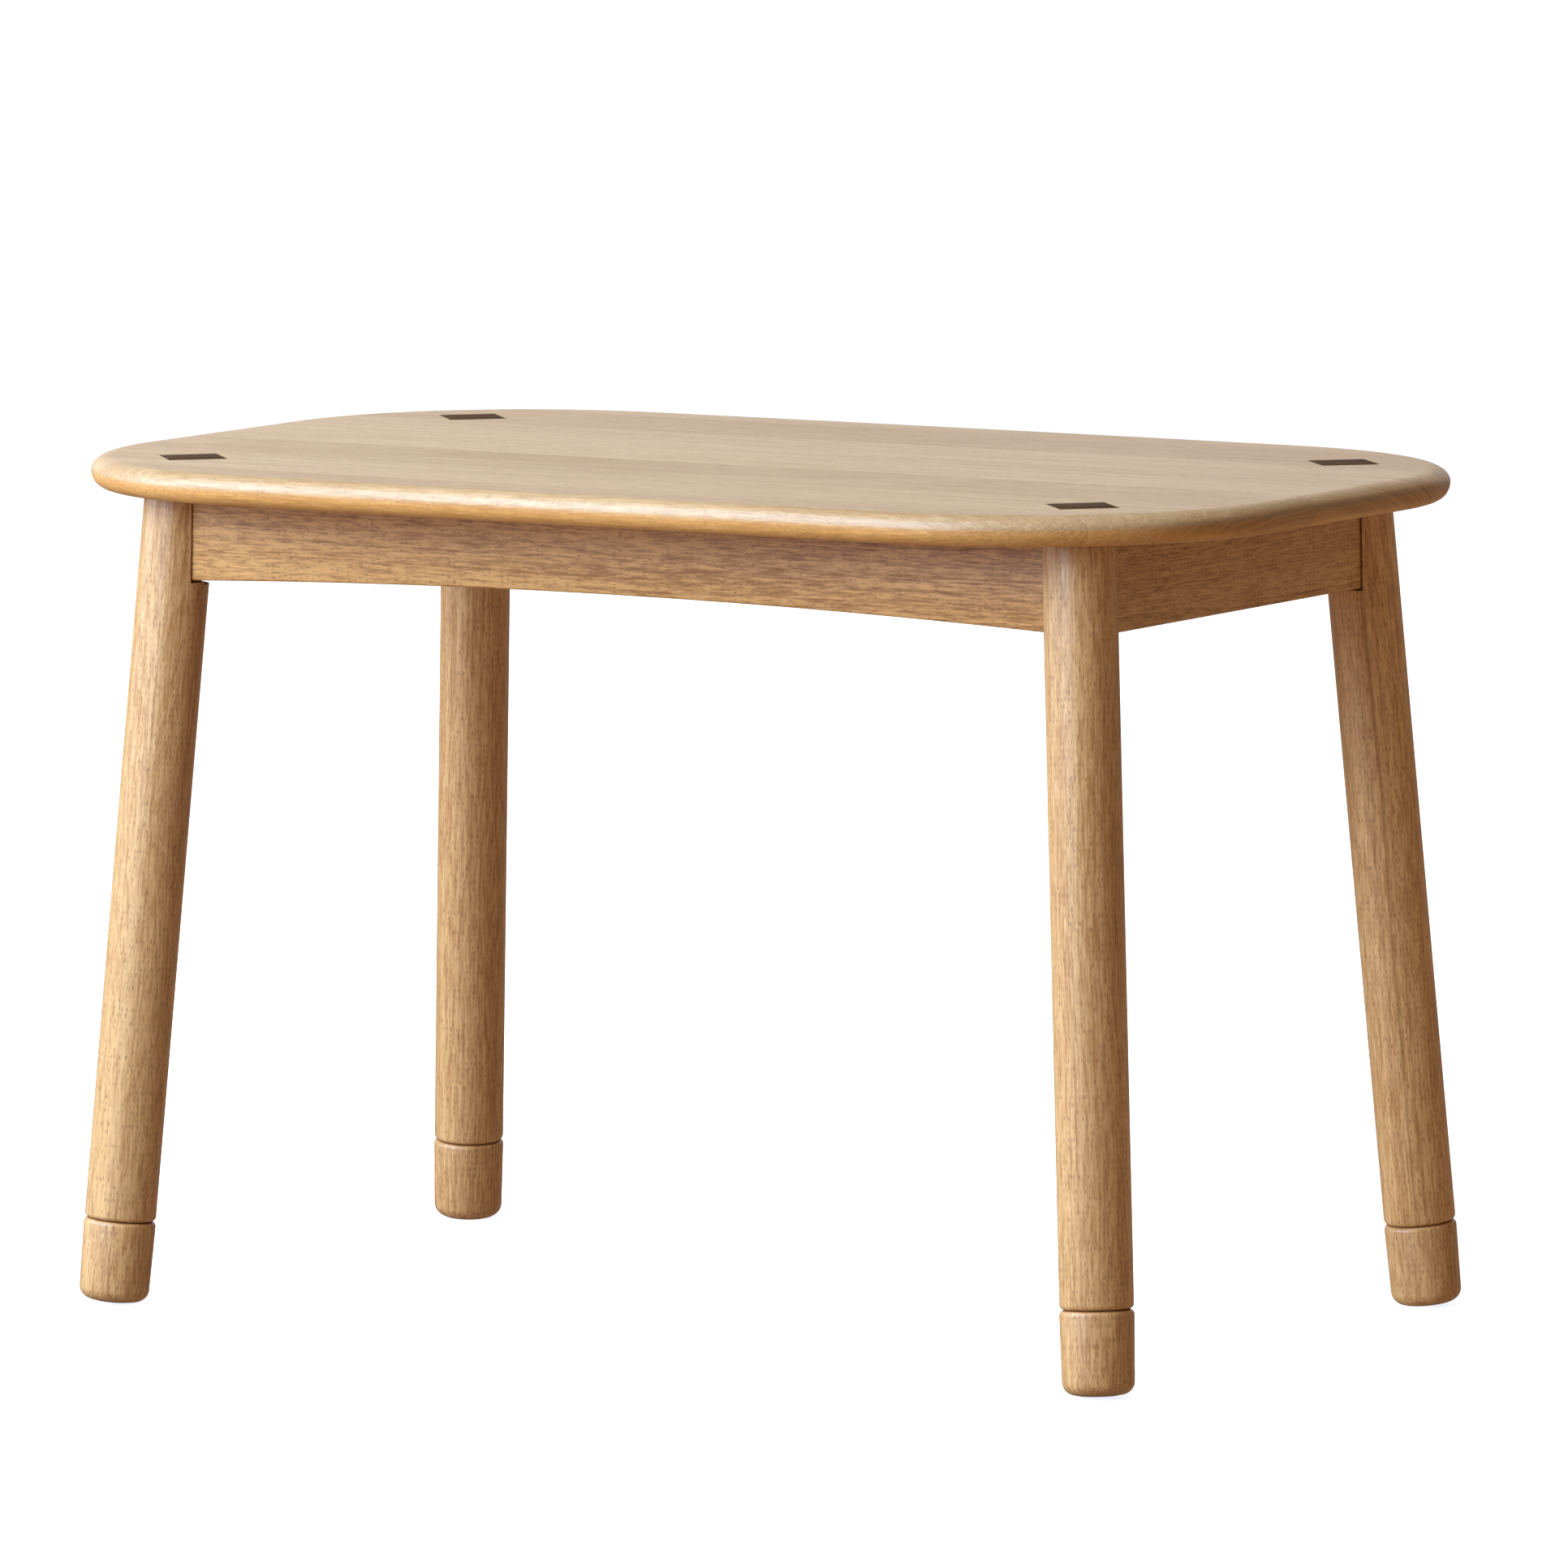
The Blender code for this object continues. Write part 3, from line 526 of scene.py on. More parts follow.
def noise(tree, vector, detail=2.0, roughness=0.5, output="Fac", distortion=0.0):
    """Add a noise texture of unit scale on a vector."""
    inputs = {"Vector": vector, "Scale": 1.0, "Detail": detail, "Roughness": roughness,
              "Distortion": distortion}
    return wire(tree, "ShaderNodeTexNoise", inputs).outputs[output]


def join(tree, operation, first, second, third=(0.0, 0.0, 0.0)):
    """Work out one vector from others."""
    return wire(tree, "ShaderNodeVectorMath", {0: first, 1: second, 2: third}, operation=operation)


def roughen(tree, height, strength, distance):
    """Raise a height into the shader's relief."""
    bump = wire(tree, "ShaderNodeBump", {"Strength": strength, "Distance": distance, "Height": height})
    tree.links.new(bump.outputs[0], tree.nodes["Principled BSDF"].inputs["Normal"])


def shades(tint, *factors):
    """Give darker and lighter shades of a colour."""
    return [[value * factor for value in tint] for factor in factors]


def new_material(name, roughness=0.5, metallic=0.0, coat=0.0, coat_roughness=0.3, sheen=0.0):
    """Start a material whose shader's constant values are set on its own sockets."""
    material = bpy.data.materials.new(name)
    material.use_nodes = True
    tree = material.node_tree
    shader = tree.nodes["Principled BSDF"]
    shader.inputs["Roughness"].default_value = roughness
    shader.inputs["Metallic"].default_value = metallic
    shader.inputs["Coat Weight"].default_value = coat
    shader.inputs["Coat Roughness"].default_value = coat_roughness
    shader.inputs["Sheen Weight"].default_value = sheen
    return material, tree, shader


def lay_grain(tree, axis, heart, across):
    """Turn and shift the object's coordinates to lay an axis along X with the heart at the origin."""
    along = Vector(axis).normalized()
    side = Vector(across).cross(along).normalized()
    turn = Matrix((along, side, along.cross(side)))
    plain = wire(tree, "ShaderNodeTexCoord")
    inputs = {"Vector": plain.outputs["Object"], "Rotation": turn.to_euler(),
              "Location": -(turn @ Vector(heart))}
    return plain, wire(tree, "ShaderNodeMapping", inputs).outputs[0]


# ---------------------------------------------------------------- materials

# A wood's patterns, as repeats a metre along the grain or ring and across it.
WARP_SCALE = (2.3, 8.0, 8.0)
WARP_REACH = (0.0, 0.014, 0.014)
BAND_SCALE = (95.0, 1.1, 1.0)
LINE_SCALE = (620.0, 5.0, 1.0)
VEIN_SCALE = (210.0, 0.5, 1.0)
FIGURE_SCALE = (62.0, 640.0, 640.0)
FIBRE_SCALE = (150.0, 1500.0, 1500.0)
RAY_SCALE = (240.0, 1120.0, 1120.0)
CLOUD_SCALE = (2.6, 9.0, 9.0)

# How much each pattern says in the wood's tone, and how far the tone swings about its middle.
BAND_SHARE = 1.0
LINE_SHARE = 0.8
FIGURE_SHARE = 1.6
FIBRE_SHARE = 0.5
CLOUD_SHARE = 0.5
BOARD_SHARE = 0.34
TONE_SWING = 0.52
RAY_SHARE = 0.66
END_SHARE = 0.75
SEAM_SHARE = 0.45

# The width of the top's boards and of the seam between two, and how far chance shifts their grain.
BOARD_WIDTH = 0.0837
SEAM_WIDTH = 0.00035
BOARD_SHIFT = (1.7, 0.16, 0.10)

# The painted bounce light: a warm tint on the faces of the top that look outwards and down, standing in for
# light bounced up onto them, and the shares of a normal along Z between which it comes in.
PAINTED_BOUNCE_TINT = (1.30, 1.0, 0.58)
PAINTED_BOUNCE_RANGE = (0.35, -0.30)


def make_wood(name, light, dark, fleck, axis, heart, seed, tone=1.0, rough=(0.40, 0.55), board=0.0,
              streak=0.0, pores=1.0, coat=0.12, contrast=1.0, specular=0.5, painted_bounce=None):
    """Make a wood whose rings, fibres and ray flecks run along an axis, round a heart."""
    material, tree, shader = new_material(name, coat=coat, coat_roughness=0.38)
    shader.inputs["Specular IOR Level"].default_value = specular
    plain, laid = lay_grain(tree, axis, heart, (0.0, 0.0, 1.0))
    shade = 0.5
    seam = 0.0
    if board > 0.0:
        parts = wire(tree, "ShaderNodeSeparateXYZ", {0: laid})
        place = calc(tree, "MULTIPLY", parts.outputs["Y"], 1.0 / board)
        index = calc(tree, "FLOOR", place)
        chance = wire(tree, "ShaderNodeTexWhiteNoise", {"W": calc(tree, "ADD", index, seed)},
                      noise_dimensions="1D")
        shift = join(tree, "MULTIPLY", chance.outputs["Color"], BOARD_SHIFT).outputs[0]
        laid = join(tree, "ADD", laid, shift).outputs[0]
        shade = chance.outputs["Value"]
        edge = calc(tree, "ABSOLUTE", calc(tree, "SUBTRACT", calc(tree, "FRACT", place), 0.5))
        seam = ramp(tree, edge, 0.5 - SEAM_WIDTH / board, 0.5)
    warp = noise(tree, stretch(tree, laid, WARP_SCALE, (seed, 0.0, 0.0)), 2.0, 0.5, "Color")
    bent = join(tree, "MULTIPLY_ADD", warp, WARP_REACH, laid).outputs[0]
    split = wire(tree, "ShaderNodeSeparateXYZ", {0: bent})
    radius = calc(tree, "SQRT", calc(tree, "ADD", calc(tree, "POWER", split.outputs["Y"], 2.0),
                                     calc(tree, "POWER", split.outputs["Z"], 2.0)))
    rings = wire(tree, "ShaderNodeCombineXYZ", {"X": radius, "Y": split.outputs["X"], "Z": seed}).outputs[0]
    bands = noise(tree, stretch(tree, rings, BAND_SCALE), 5.0, 0.62)
    lines = noise(tree, stretch(tree, rings, LINE_SCALE), 3.0, 0.6)
    figure = noise(tree, stretch(tree, bent, FIGURE_SCALE), 3.0, 0.65)
    fibres = noise(tree, stretch(tree, bent, FIBRE_SCALE), 2.0, 0.6)
    cloud = noise(tree, stretch(tree, laid, CLOUD_SCALE, (0.0, seed, 0.0)), 3.0, 0.5)

    # The tone: every pattern weighed and added, then spread over the two colours.
    layers = ((lines, LINE_SHARE * contrast), (bands, BAND_SHARE * contrast),
              (figure, FIGURE_SHARE * contrast), (fibres, FIBRE_SHARE * contrast),
              (cloud, CLOUD_SHARE * contrast), (shade, BOARD_SHARE))
    level = 0.0
    for pattern, share in layers:
        level = calc(tree, "MULTIPLY_ADD", pattern, share, level)
    middle = 0.5 * sum(share for _, share in layers)
    base = mix(tree, ramp(tree, level, middle - TONE_SWING, middle + TONE_SWING), dark, light)

    # The ray flecks: some of the cells of a long-celled pattern, soft at their edges.
    cells = wire(tree, "ShaderNodeTexVoronoi", {"Vector": stretch(tree, bent, RAY_SCALE), "Scale": 1.0,
                                                "Randomness": 1.0})
    chosen = wire(tree, "ShaderNodeSeparateColor", {0: cells.outputs["Color"]}).outputs[0]
    rays = calc(tree, "MULTIPLY", ramp(tree, cells.outputs["Distance"], 0.50, 0.18),
                ramp(tree, chosen, 0.55, 0.75))
    base = mix(tree, calc(tree, "MULTIPLY", rays, RAY_SHARE * pores), base, fleck)
    if streak > 0.0:
        vein = noise(tree, stretch(tree, rings, VEIN_SCALE, (0.0, 0.0, 3.0)), 1.0, 0.4)
        base = mix(tree, ramp(tree, vein, 0.60, 0.70, 0.0, streak), base, fleck)

    # Cut ends are darker, and show the rings.
    ends = join(tree, "DOT_PRODUCT", plain.outputs["Normal"], Vector(axis).normalized()).outputs["Value"]
    end_grain = ramp(tree, calc(tree, "ABSOLUTE", ends), 0.70, 0.97)
    end_tone = mix(tree, ramp(tree, lines, 0.35, 0.65), *shades(dark, 0.62, 0.95))
    base = mix(tree, calc(tree, "MULTIPLY", end_grain, END_SHARE), base, end_tone)
    if board > 0.0:
        base = mix(tree, calc(tree, "MULTIPLY", seam, SEAM_SHARE), base, fleck)
    # Each piece's own tone; for the back right leg it also carries painted light.
    base = mix(tree, 1.0, base, (tone, tone, tone), "MULTIPLY")
    # Painted bounce light: faces that look outwards and down are warmed, as if lit from below.
    if painted_bounce:
        upright = wire(tree, "ShaderNodeSeparateXYZ", {0: plain.outputs["Normal"]}).outputs["Z"]
        base = mix(tree, ramp(tree, upright, *PAINTED_BOUNCE_RANGE), base, painted_bounce, "MULTIPLY")
    tree.links.new(base, shader.inputs["Base Color"])
    gloss = calc(tree, "MULTIPLY_ADD", fibres, 0.5, calc(tree, "MULTIPLY", lines, 0.5))
    gloss = calc(tree, "MULTIPLY_ADD", rays, -0.12, gloss)
    tree.links.new(ramp(tree, gloss, 0.2, 0.8, rough[1], rough[0]), shader.inputs["Roughness"])
    relief = calc(tree, "MULTIPLY_ADD", rays, -0.5, calc(tree, "MULTIPLY_ADD", lines, 0.5, fibres))
    roughen(tree, relief, 0.35, 0.00012)
    return material


def make_metal(name, tint, axis, rough=(0.25, 0.42)):
    """Make a machined and plated metal, with fine tool marks round an axis and faint blotches."""
    material, tree, shader = new_material(name, metallic=1.0)
    _, laid = lay_grain(tree, axis, (0.0, 0.0, 0.0), (0.13, 0.31, 0.94))
    marks = noise(tree, stretch(tree, laid, (5200.0, 60.0, 60.0)), 2.0, 0.6)
    blotches = noise(tree, stretch(tree, laid, (240.0, 240.0, 240.0)), 3.0, 0.6)
    base = mix(tree, ramp(tree, blotches, 0.35, 0.68), *shades(tint, 0.72, 1.0))
    tree.links.new(base, shader.inputs["Base Color"])
    wear = calc(tree, "MULTIPLY_ADD", marks, 0.5, calc(tree, "MULTIPLY", blotches, 0.5))
    tree.links.new(ramp(tree, wear, 0.3, 0.7, rough[0], rough[1]), shader.inputs["Roughness"])
    roughen(tree, marks, 0.25, 0.00004)
    return material


def make_felt(name, tint):
    """Make pressed wool felt, with crossing fibres and darker knots."""
    material, tree, shader = new_material(name, roughness=0.95, sheen=0.35)
    plain = wire(tree, "ShaderNodeTexCoord").outputs["Object"]
    first = noise(tree, stretch(tree, plain, (5200.0, 700.0, 1600.0)), 3.0, 0.65, distortion=1.4)
    second = noise(tree, stretch(tree, plain, (800.0, 4700.0, 1600.0)), 3.0, 0.65, distortion=1.4)
    fibre = calc(tree, "MAXIMUM", first, second)
    knots = noise(tree, stretch(tree, plain, (420.0, 420.0, 420.0)), 2.0, 0.5)
    low, high, knot = shades(tint, 0.55, 1.25, 0.45)
    base = mix(tree, ramp(tree, fibre, 0.40, 0.75), low, high)
    base = mix(tree, ramp(tree, knots, 0.55, 0.72, 0.0, 0.6), base, knot)
    tree.links.new(base, shader.inputs["Base Color"])
    tree.links.new(ramp(tree, fibre, 0.3, 0.8, 1.0, 0.86), shader.inputs["Roughness"])
    roughen(tree, fibre, 0.8, 0.0003)
    return material


# The floor's own faint glow, which keeps it pale without strong light.
FLOOR_GLOW = (0.96, 1.03, 1.14, 1.0)
FLOOR_GLOW_STRENGTH = 0.80


def make_floor_material(name, tint):
    """Make the pale floor: matt, with a breath of unevenness and a glow of its own."""
    material, tree, shader = new_material(name, roughness=0.8)
    shader.inputs["Specular IOR Level"].default_value = 0.2
    plain = wire(tree, "ShaderNodeTexCoord").outputs["Object"]
    drift = noise(tree, stretch(tree, plain, (0.7, 0.7, 0.7)), 3.0, 0.5)
    tree.links.new(mix(tree, drift, *shades(tint, 0.985, 1.0)), shader.inputs["Base Color"])
    shader.inputs["Emission Color"].default_value = FLOOR_GLOW
    shader.inputs["Emission Strength"].default_value = FLOOR_GLOW_STRENGTH
    return material


# ---------------------------------------------------------------- tabletop and inlays

# Cuts along each bowed side, how far the bow runs on into a corner, the level margin inside the
# rounded edge, and the room round an inlay.
BOW_CUTS = 23
BOW_BLEND = 0.03
EDGE_MARGIN = 0.003
POCKET_ROOM = 0.00012


def bow(piece, sizes):
    """Bow the long sides of the flat outline, and carry the bow smoothly into the corners."""
    start = TOP_HIGH.x - sizes.corner_radius
    slope = start / sizes.side_bow
    for vert in piece.data.vertices:
        reach = abs(vert.co.x)
        past = min(max(reach - start, 0.0), BOW_BLEND)
        drop = min(reach, start) ** 2 / (2.0 * sizes.side_bow)
        drop += slope * past * (1.0 - past / (2.0 * BOW_BLEND))
        vert.co.y -= math.copysign(drop, vert.co.y)


def round_edge(piece, inset, rise, segments, sign):
    """Raise or sink one flat side of the board ring by ring to a quarter ellipse, inside a level margin."""
    edit(piece)
    pick_faces(piece, lambda centre, normal: normal.z * sign > LEVEL)
    done = (0.0, 0.0)
    for step in range(1, segments + 1):
        angle = math.pi / 2.0 * step / segments
        reach = inset * (1.0 - math.cos(angle))
        climb = rise * math.sin(angle)
        bpy.ops.mesh.inset(thickness=reach - done[0], depth=climb - done[1])
        done = (reach, climb)
    bpy.ops.mesh.inset(thickness=EDGE_MARGIN)
    deselect()


def inlay_square(name, corner, room, low, high):
    """Add a square block turned to stand on its corner, at an inlay's place."""
    box_low, box_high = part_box("inlay_" + corner)
    middle = (box_low + box_high) / 2.0
    side = (box_high.x - box_low.x) / math.sqrt(2.0) + 2.0 * room
    deselect()
    bpy.ops.mesh.primitive_cube_add(size=1.0, location=(middle.x, middle.y, (low + high) / 2.0),
                                    rotation=(0.0, 0.0, math.pi / 4.0), scale=(side, side, high - low))
    return named(name)


class TABLE_OT_tabletop(Operator):
    """Model the rounded beech top with its inlay pockets and sockets"""
    bl_idname = "table.tabletop"
    bl_label = "Tabletop"

    def execute(self, context):
        sizes = context.scene.table_top
        framing = context.scene.table_frame
        fixings = context.scene.table_fixings
        colours = context.scene.table_colours
        edge_height = TOP_HIGH.z - sizes.upper_rise - sizes.land
        deselect()
        bpy.ops.mesh.primitive_plane_add(size=1.0, location=(0.0, 0.0, edge_height))
        bpy.ops.transform.resize(value=(TOP_HIGH.x - TOP_LOW.x, TOP_HIGH.y - TOP_LOW.y, 1.0))
        top = named("beech_top")
        edit(top, "SELECT")
        bpy.ops.mesh.bevel(offset=sizes.corner_radius, segments=sizes.corner_segments, profile=0.5,
                           affect="VERTICES")
        pick_edges(top, lambda a, b: abs(a.x - b.x) > sizes.corner_radius)
        bpy.ops.mesh.subdivide(number_cuts=BOW_CUTS)
        deselect()
        bow(top, sizes)
        edit(top)
        bpy.ops.mesh.select_mode(type="FACE")
        bpy.ops.mesh.select_all(action="SELECT")
        bpy.ops.mesh.extrude_region_move(TRANSFORM_OT_translate={"value": (0.0, 0.0, sizes.land)})
        bpy.ops.mesh.select_all(action="SELECT")
        bpy.ops.mesh.normals_make_consistent(inside=False)
        deselect()
        round_edge(top, sizes.upper_inset, sizes.upper_rise, sizes.edge_segments, 1.0)
        round_edge(top, sizes.lower_inset, edge_height - TOP_LOW.z, sizes.edge_segments, -1.0)
        cutters = []
        for corner in CORNERS:
            cutters.append(inlay_square("pocket", corner, POCKET_ROOM, TOP_HIGH.z - sizes.inlay_depth - CLEAR,
                                        TOP_HIGH.z + sizes.inlay_depth))
            socket = add_rod("socket", framing.spigot_radius + CLEAR, -THROUGH,
                             framing.spigot_rise + 2.0 * CLEAR)
            cutters.append(move(socket, facing(leg_point(corner, UNDERSIDE), leg_up(corner))))
            pilot_low, pilot_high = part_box("top_screw_" + corner)
            pilot = add_rod("pilot", fixings.screw_radius + CLEAR, UNDERSIDE - THROUGH, pilot_high.z + CLEAR)
            centre = (pilot_low + pilot_high) / 2.0
            cutters.append(move(pilot, Matrix.Translation((centre.x, centre.y, 0.0))))
        carve(top, cutters)
        # The top's outward and downward faces get the painted bounce light.
        wood = make_wood("oiled_beech_top", colours.top_light, colours.top_dark, colours.beech_fleck,
                         (1, 0, 0), (0.0, 0.045, 0.30), 3.0, board=BOARD_WIDTH, pores=0.55, contrast=0.85,
                         coat=0.35, painted_bounce=PAINTED_BOUNCE_TINT)
        tie(top, "table_frame", "tabletop", wood)
        return {"FINISHED"}


class TABLE_OT_inlays(Operator):
    """Model the four walnut squares set flush in the top"""
    bl_idname = "table.inlays"
    bl_label = "Inlays"

    def execute(self, context):
        sizes = context.scene.table_top
        colours = context.scene.table_colours
        for index, corner in enumerate(CORNERS):
            inlay = inlay_square("walnut_inlay_" + corner, corner, 0.0, TOP_HIGH.z - sizes.inlay_depth,
                                 TOP_HIGH.z)
            ease(inlay, sizes.inlay_ease, 2)
            wood = make_wood("oiled_walnut_" + corner, colours.walnut_light, colours.walnut_dark,
                             colours.walnut_dark, (1.0, 1.0, 0.0), (0.1 * index, 0.02, 0.2), 11.0 + index,
                             rough=(0.55, 0.70), pores=1.3, coat=0.0, specular=0.04)
            tie(inlay, "table_frame", "inlay_" + corner, wood)
        return {"FINISHED"}


# ---------------------------------------------------------------- aprons

# Cuts along an apron for its arch, how far a screw hole starts before its seat, and how far the
# counterbore reaches back from the seat.
ARCH_CUTS = 63
HOLE_OVERLAP = 0.002
BORE_REACH = 0.035


def make_apron(name, node, long, arch, ease_width, pilots):
    """Shape an apron from a block: ends that lean with the legs, an arched lower edge, eased edges."""
    low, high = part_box(node)
    axis = 0 if long else 1
    board = add_block(name, low, high)
    edit(board)
    pick_edges(board, lambda a, b: abs(a[axis] - b[axis]) > WELD)
    bpy.ops.mesh.subdivide(number_cuts=ARCH_CUTS)
    deselect()
    half = high[axis]
    up = leg_up("back_right")
    narrow = (high.z - low.z) * -up[axis] / up.z
    for vert in board.data.vertices:
        share = vert.co[axis] / half
        if vert.co.z > (low.z + high.z) / 2.0:
            vert.co[axis] *= (half - narrow) / half
        else:
            vert.co.z += arch * (1.0 - share * share)
    ease(board, ease_width, 3)
    carve(board, pilots)
    return board


def screw_place(corner, kind):
    """Give where a block screw's seat is, its direction, and its node."""
    sizes = bpy.context.scene.table_fixings
    side_x, side_y = CORNERS[corner]
    node = {"top": "top_screw_", "long": "long_apron_screw_", "side": "side_apron_screw_"}[kind] + corner
    low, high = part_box(node)
    middle = (low + high) / 2.0
    if kind == "top":
        middle.z = high.z - sizes.top_screw_length
        return middle, Vector((0.0, 0.0, 1.0)), node
    if kind == "long":
        middle.y = (high.y if side_y > 0 else low.y) - side_y * sizes.side_screw_length
        return middle, Vector((0.0, side_y, 0.0)), node
    middle.x = (high.x if side_x > 0 else low.x) - side_x * sizes.side_screw_length
    return middle, Vector((side_x, 0.0, 0.0)), node


def screw_hole(corner, kind, screw_length, counterbored=False):
    """Make the cutter of a screw's hole, with a counterbore before its seat where one is asked for."""
    sizes = bpy.context.scene.table_fixings
    seat, direction, _ = screw_place(corner, kind)
    hole = add_rod("hole", sizes.screw_radius + CLEAR, -HOLE_OVERLAP, screw_length + CLEAR, THREAD_SIDES)
    if counterbored:
        wide = add_rod("counterbore", sizes.bore_radius, -BORE_REACH, 0.0)
        carve(wide, [hole], "UNION")
        hole = wide
    return move(hole, facing(seat, direction))


class TABLE_OT_aprons(Operator):
    """Model the four aprons between the legs"""
    bl_idname = "table.aprons"
    bl_label = "Aprons"

    def execute(self, context):
        sizes = context.scene.table_frame
        fixings = context.scene.table_fixings
        colours = context.scene.table_colours
        plan = {
            "front": ("long", ("front_left", "front_right"), (1, 0, 0), (0.3, -0.128, 0.300), 21.0, 1.35),
            "back": ("long", ("back_left", "back_right"), (1, 0, 0), (-0.2, 0.140, 0.280), 22.0, 1.35),
            "left": ("side", ("front_left", "back_left"), (0, 1, 0), (-0.270, 0.1, 0.320), 23.0, 1.15),
            "right": ("side", ("front_right", "back_right"), (0, 1, 0), (0.265, 0.0, 0.350), 24.0, 1.15),
        }
        for side, (kind, corners, axis, heart, seed, contrast) in plan.items():
            pilots = [screw_hole(corner, kind, fixings.side_screw_length) for corner in corners]
            arch = sizes.apron_arch if kind == "long" else 0.0
            apron = make_apron("beech_apron_" + side, "apron_" + side, kind == "long", arch,
                               sizes.apron_ease, pilots)
            # The long aprons take the darker copy of the beech, painted shade; the side aprons take the plain
            # beech.
            light, dark = colours.beech_light, colours.beech_dark
            if kind == "long":
                light, dark = colours.shaded_apron_light, colours.shaded_apron_dark
            wood = make_wood("oiled_beech_apron_" + side, light, dark, colours.beech_fleck, axis, heart, seed,
                             contrast=contrast)
            tie(apron, "table_frame", "apron_" + side, wood)
        return {"FINISHED"}


# ---------------------------------------------------------------- legs

# How far the housings' cutters reach past a leg, the spare length sawn off its head, the room left
# above its stud, and the depth of its bolt hole.
HOUSING_REACH = 0.05
LEG_TRIM = 0.010
STUD_ROOM = 0.006
BOLT_HOLE = 0.06


def lean_block(name, low, high, lean):
    """Add a box whose top is shifted sideways by a lean per metre of its height."""
    block = add_block(name, low, high)
    rise = high[2] - low[2]
    edit(block)
    pick_faces(block, lambda centre, normal: normal.z > LEVEL)
    bpy.ops.transform.translate(value=(lean[0] * rise, lean[1] * rise, 0.0))
    deselect()
    return block


def housing_blocks(corner, sizes):
    """Make the cutters that open a leg's head for both aprons and flatten its inner corner."""
    sides = CORNERS[corner]
    up = leg_up(corner)
    lean = (up.x / up.z, up.y / up.z)
    top = UNDERSIDE + HOUSING_REACH
    blocks = []
    for name, along, edge, face in (("housing_long", 0, APRON_LOW.z, APRON_HIGH.y),
                                    ("housing_side", 1, SIDE_LOW.z, SIDE_HIGH.x)):
        across = 1 - along
        base = edge - sizes.housing_room
        centre = leg_point(corner, base)
        end = centre[along] - sides[along] * (sizes.leg_core - CLEAR)
        low = [0.0, 0.0, base]
        high = [0.0, 0.0, top]
        low[along], high[along] = sorted((end, end - sides[along] * HOUSING_REACH))
        low[across], high[across] = sorted((sides[across] * (face + sizes.housing_room),
                                            sides[across] * (face - 2.0 * HOUSING_REACH)))
        shift = [0.0, 0.0]
        shift[along] = lean[along]
        blocks.append(lean_block(name, low, high, shift))
    # The flat starts level with the side housing, the last of the two.
    flat = add_block("corner_flat", (-HOUSING_REACH, sizes.leg_flat, base),
                     (HOUSING_REACH, sizes.leg_flat + HOUSING_REACH, top))
    turn = math.atan2(-sides[1], -sides[0]) - math.pi / 2.0
    move(flat, Matrix.Translation((centre.x, centre.y, 0.0)) @ Matrix.Rotation(turn, 4, "Z"))
    slant = Matrix.Identity(4)
    slant[0][2] = lean[0]
    slant[1][2] = lean[1]
    move(flat, Matrix.Translation((0.0, 0.0, base)) @ slant @ Matrix.Translation((0.0, 0.0, -base)))
    return blocks + [flat]


def bolt_line(corner, sizes):
    """Give where a leg bolt starts in the leg, its direction inwards, and how far it runs."""
    side_x, side_y = CORNERS[corner]
    inwards = Vector((-side_x, -side_y, 0.0)).normalized()
    low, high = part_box("leg_bolt_" + corner)
    start = Vector((high.x if side_x > 0 else low.x, high.y if side_y > 0 else low.y, sizes.bolt_height))
    end_radius = sizes.bolt_radius - sizes.bolt_chamfer
    run = (high.x - low.x) * math.sqrt(2.0) - 2.0 * end_radius
    start += inwards * end_radius
    return start, inwards, run


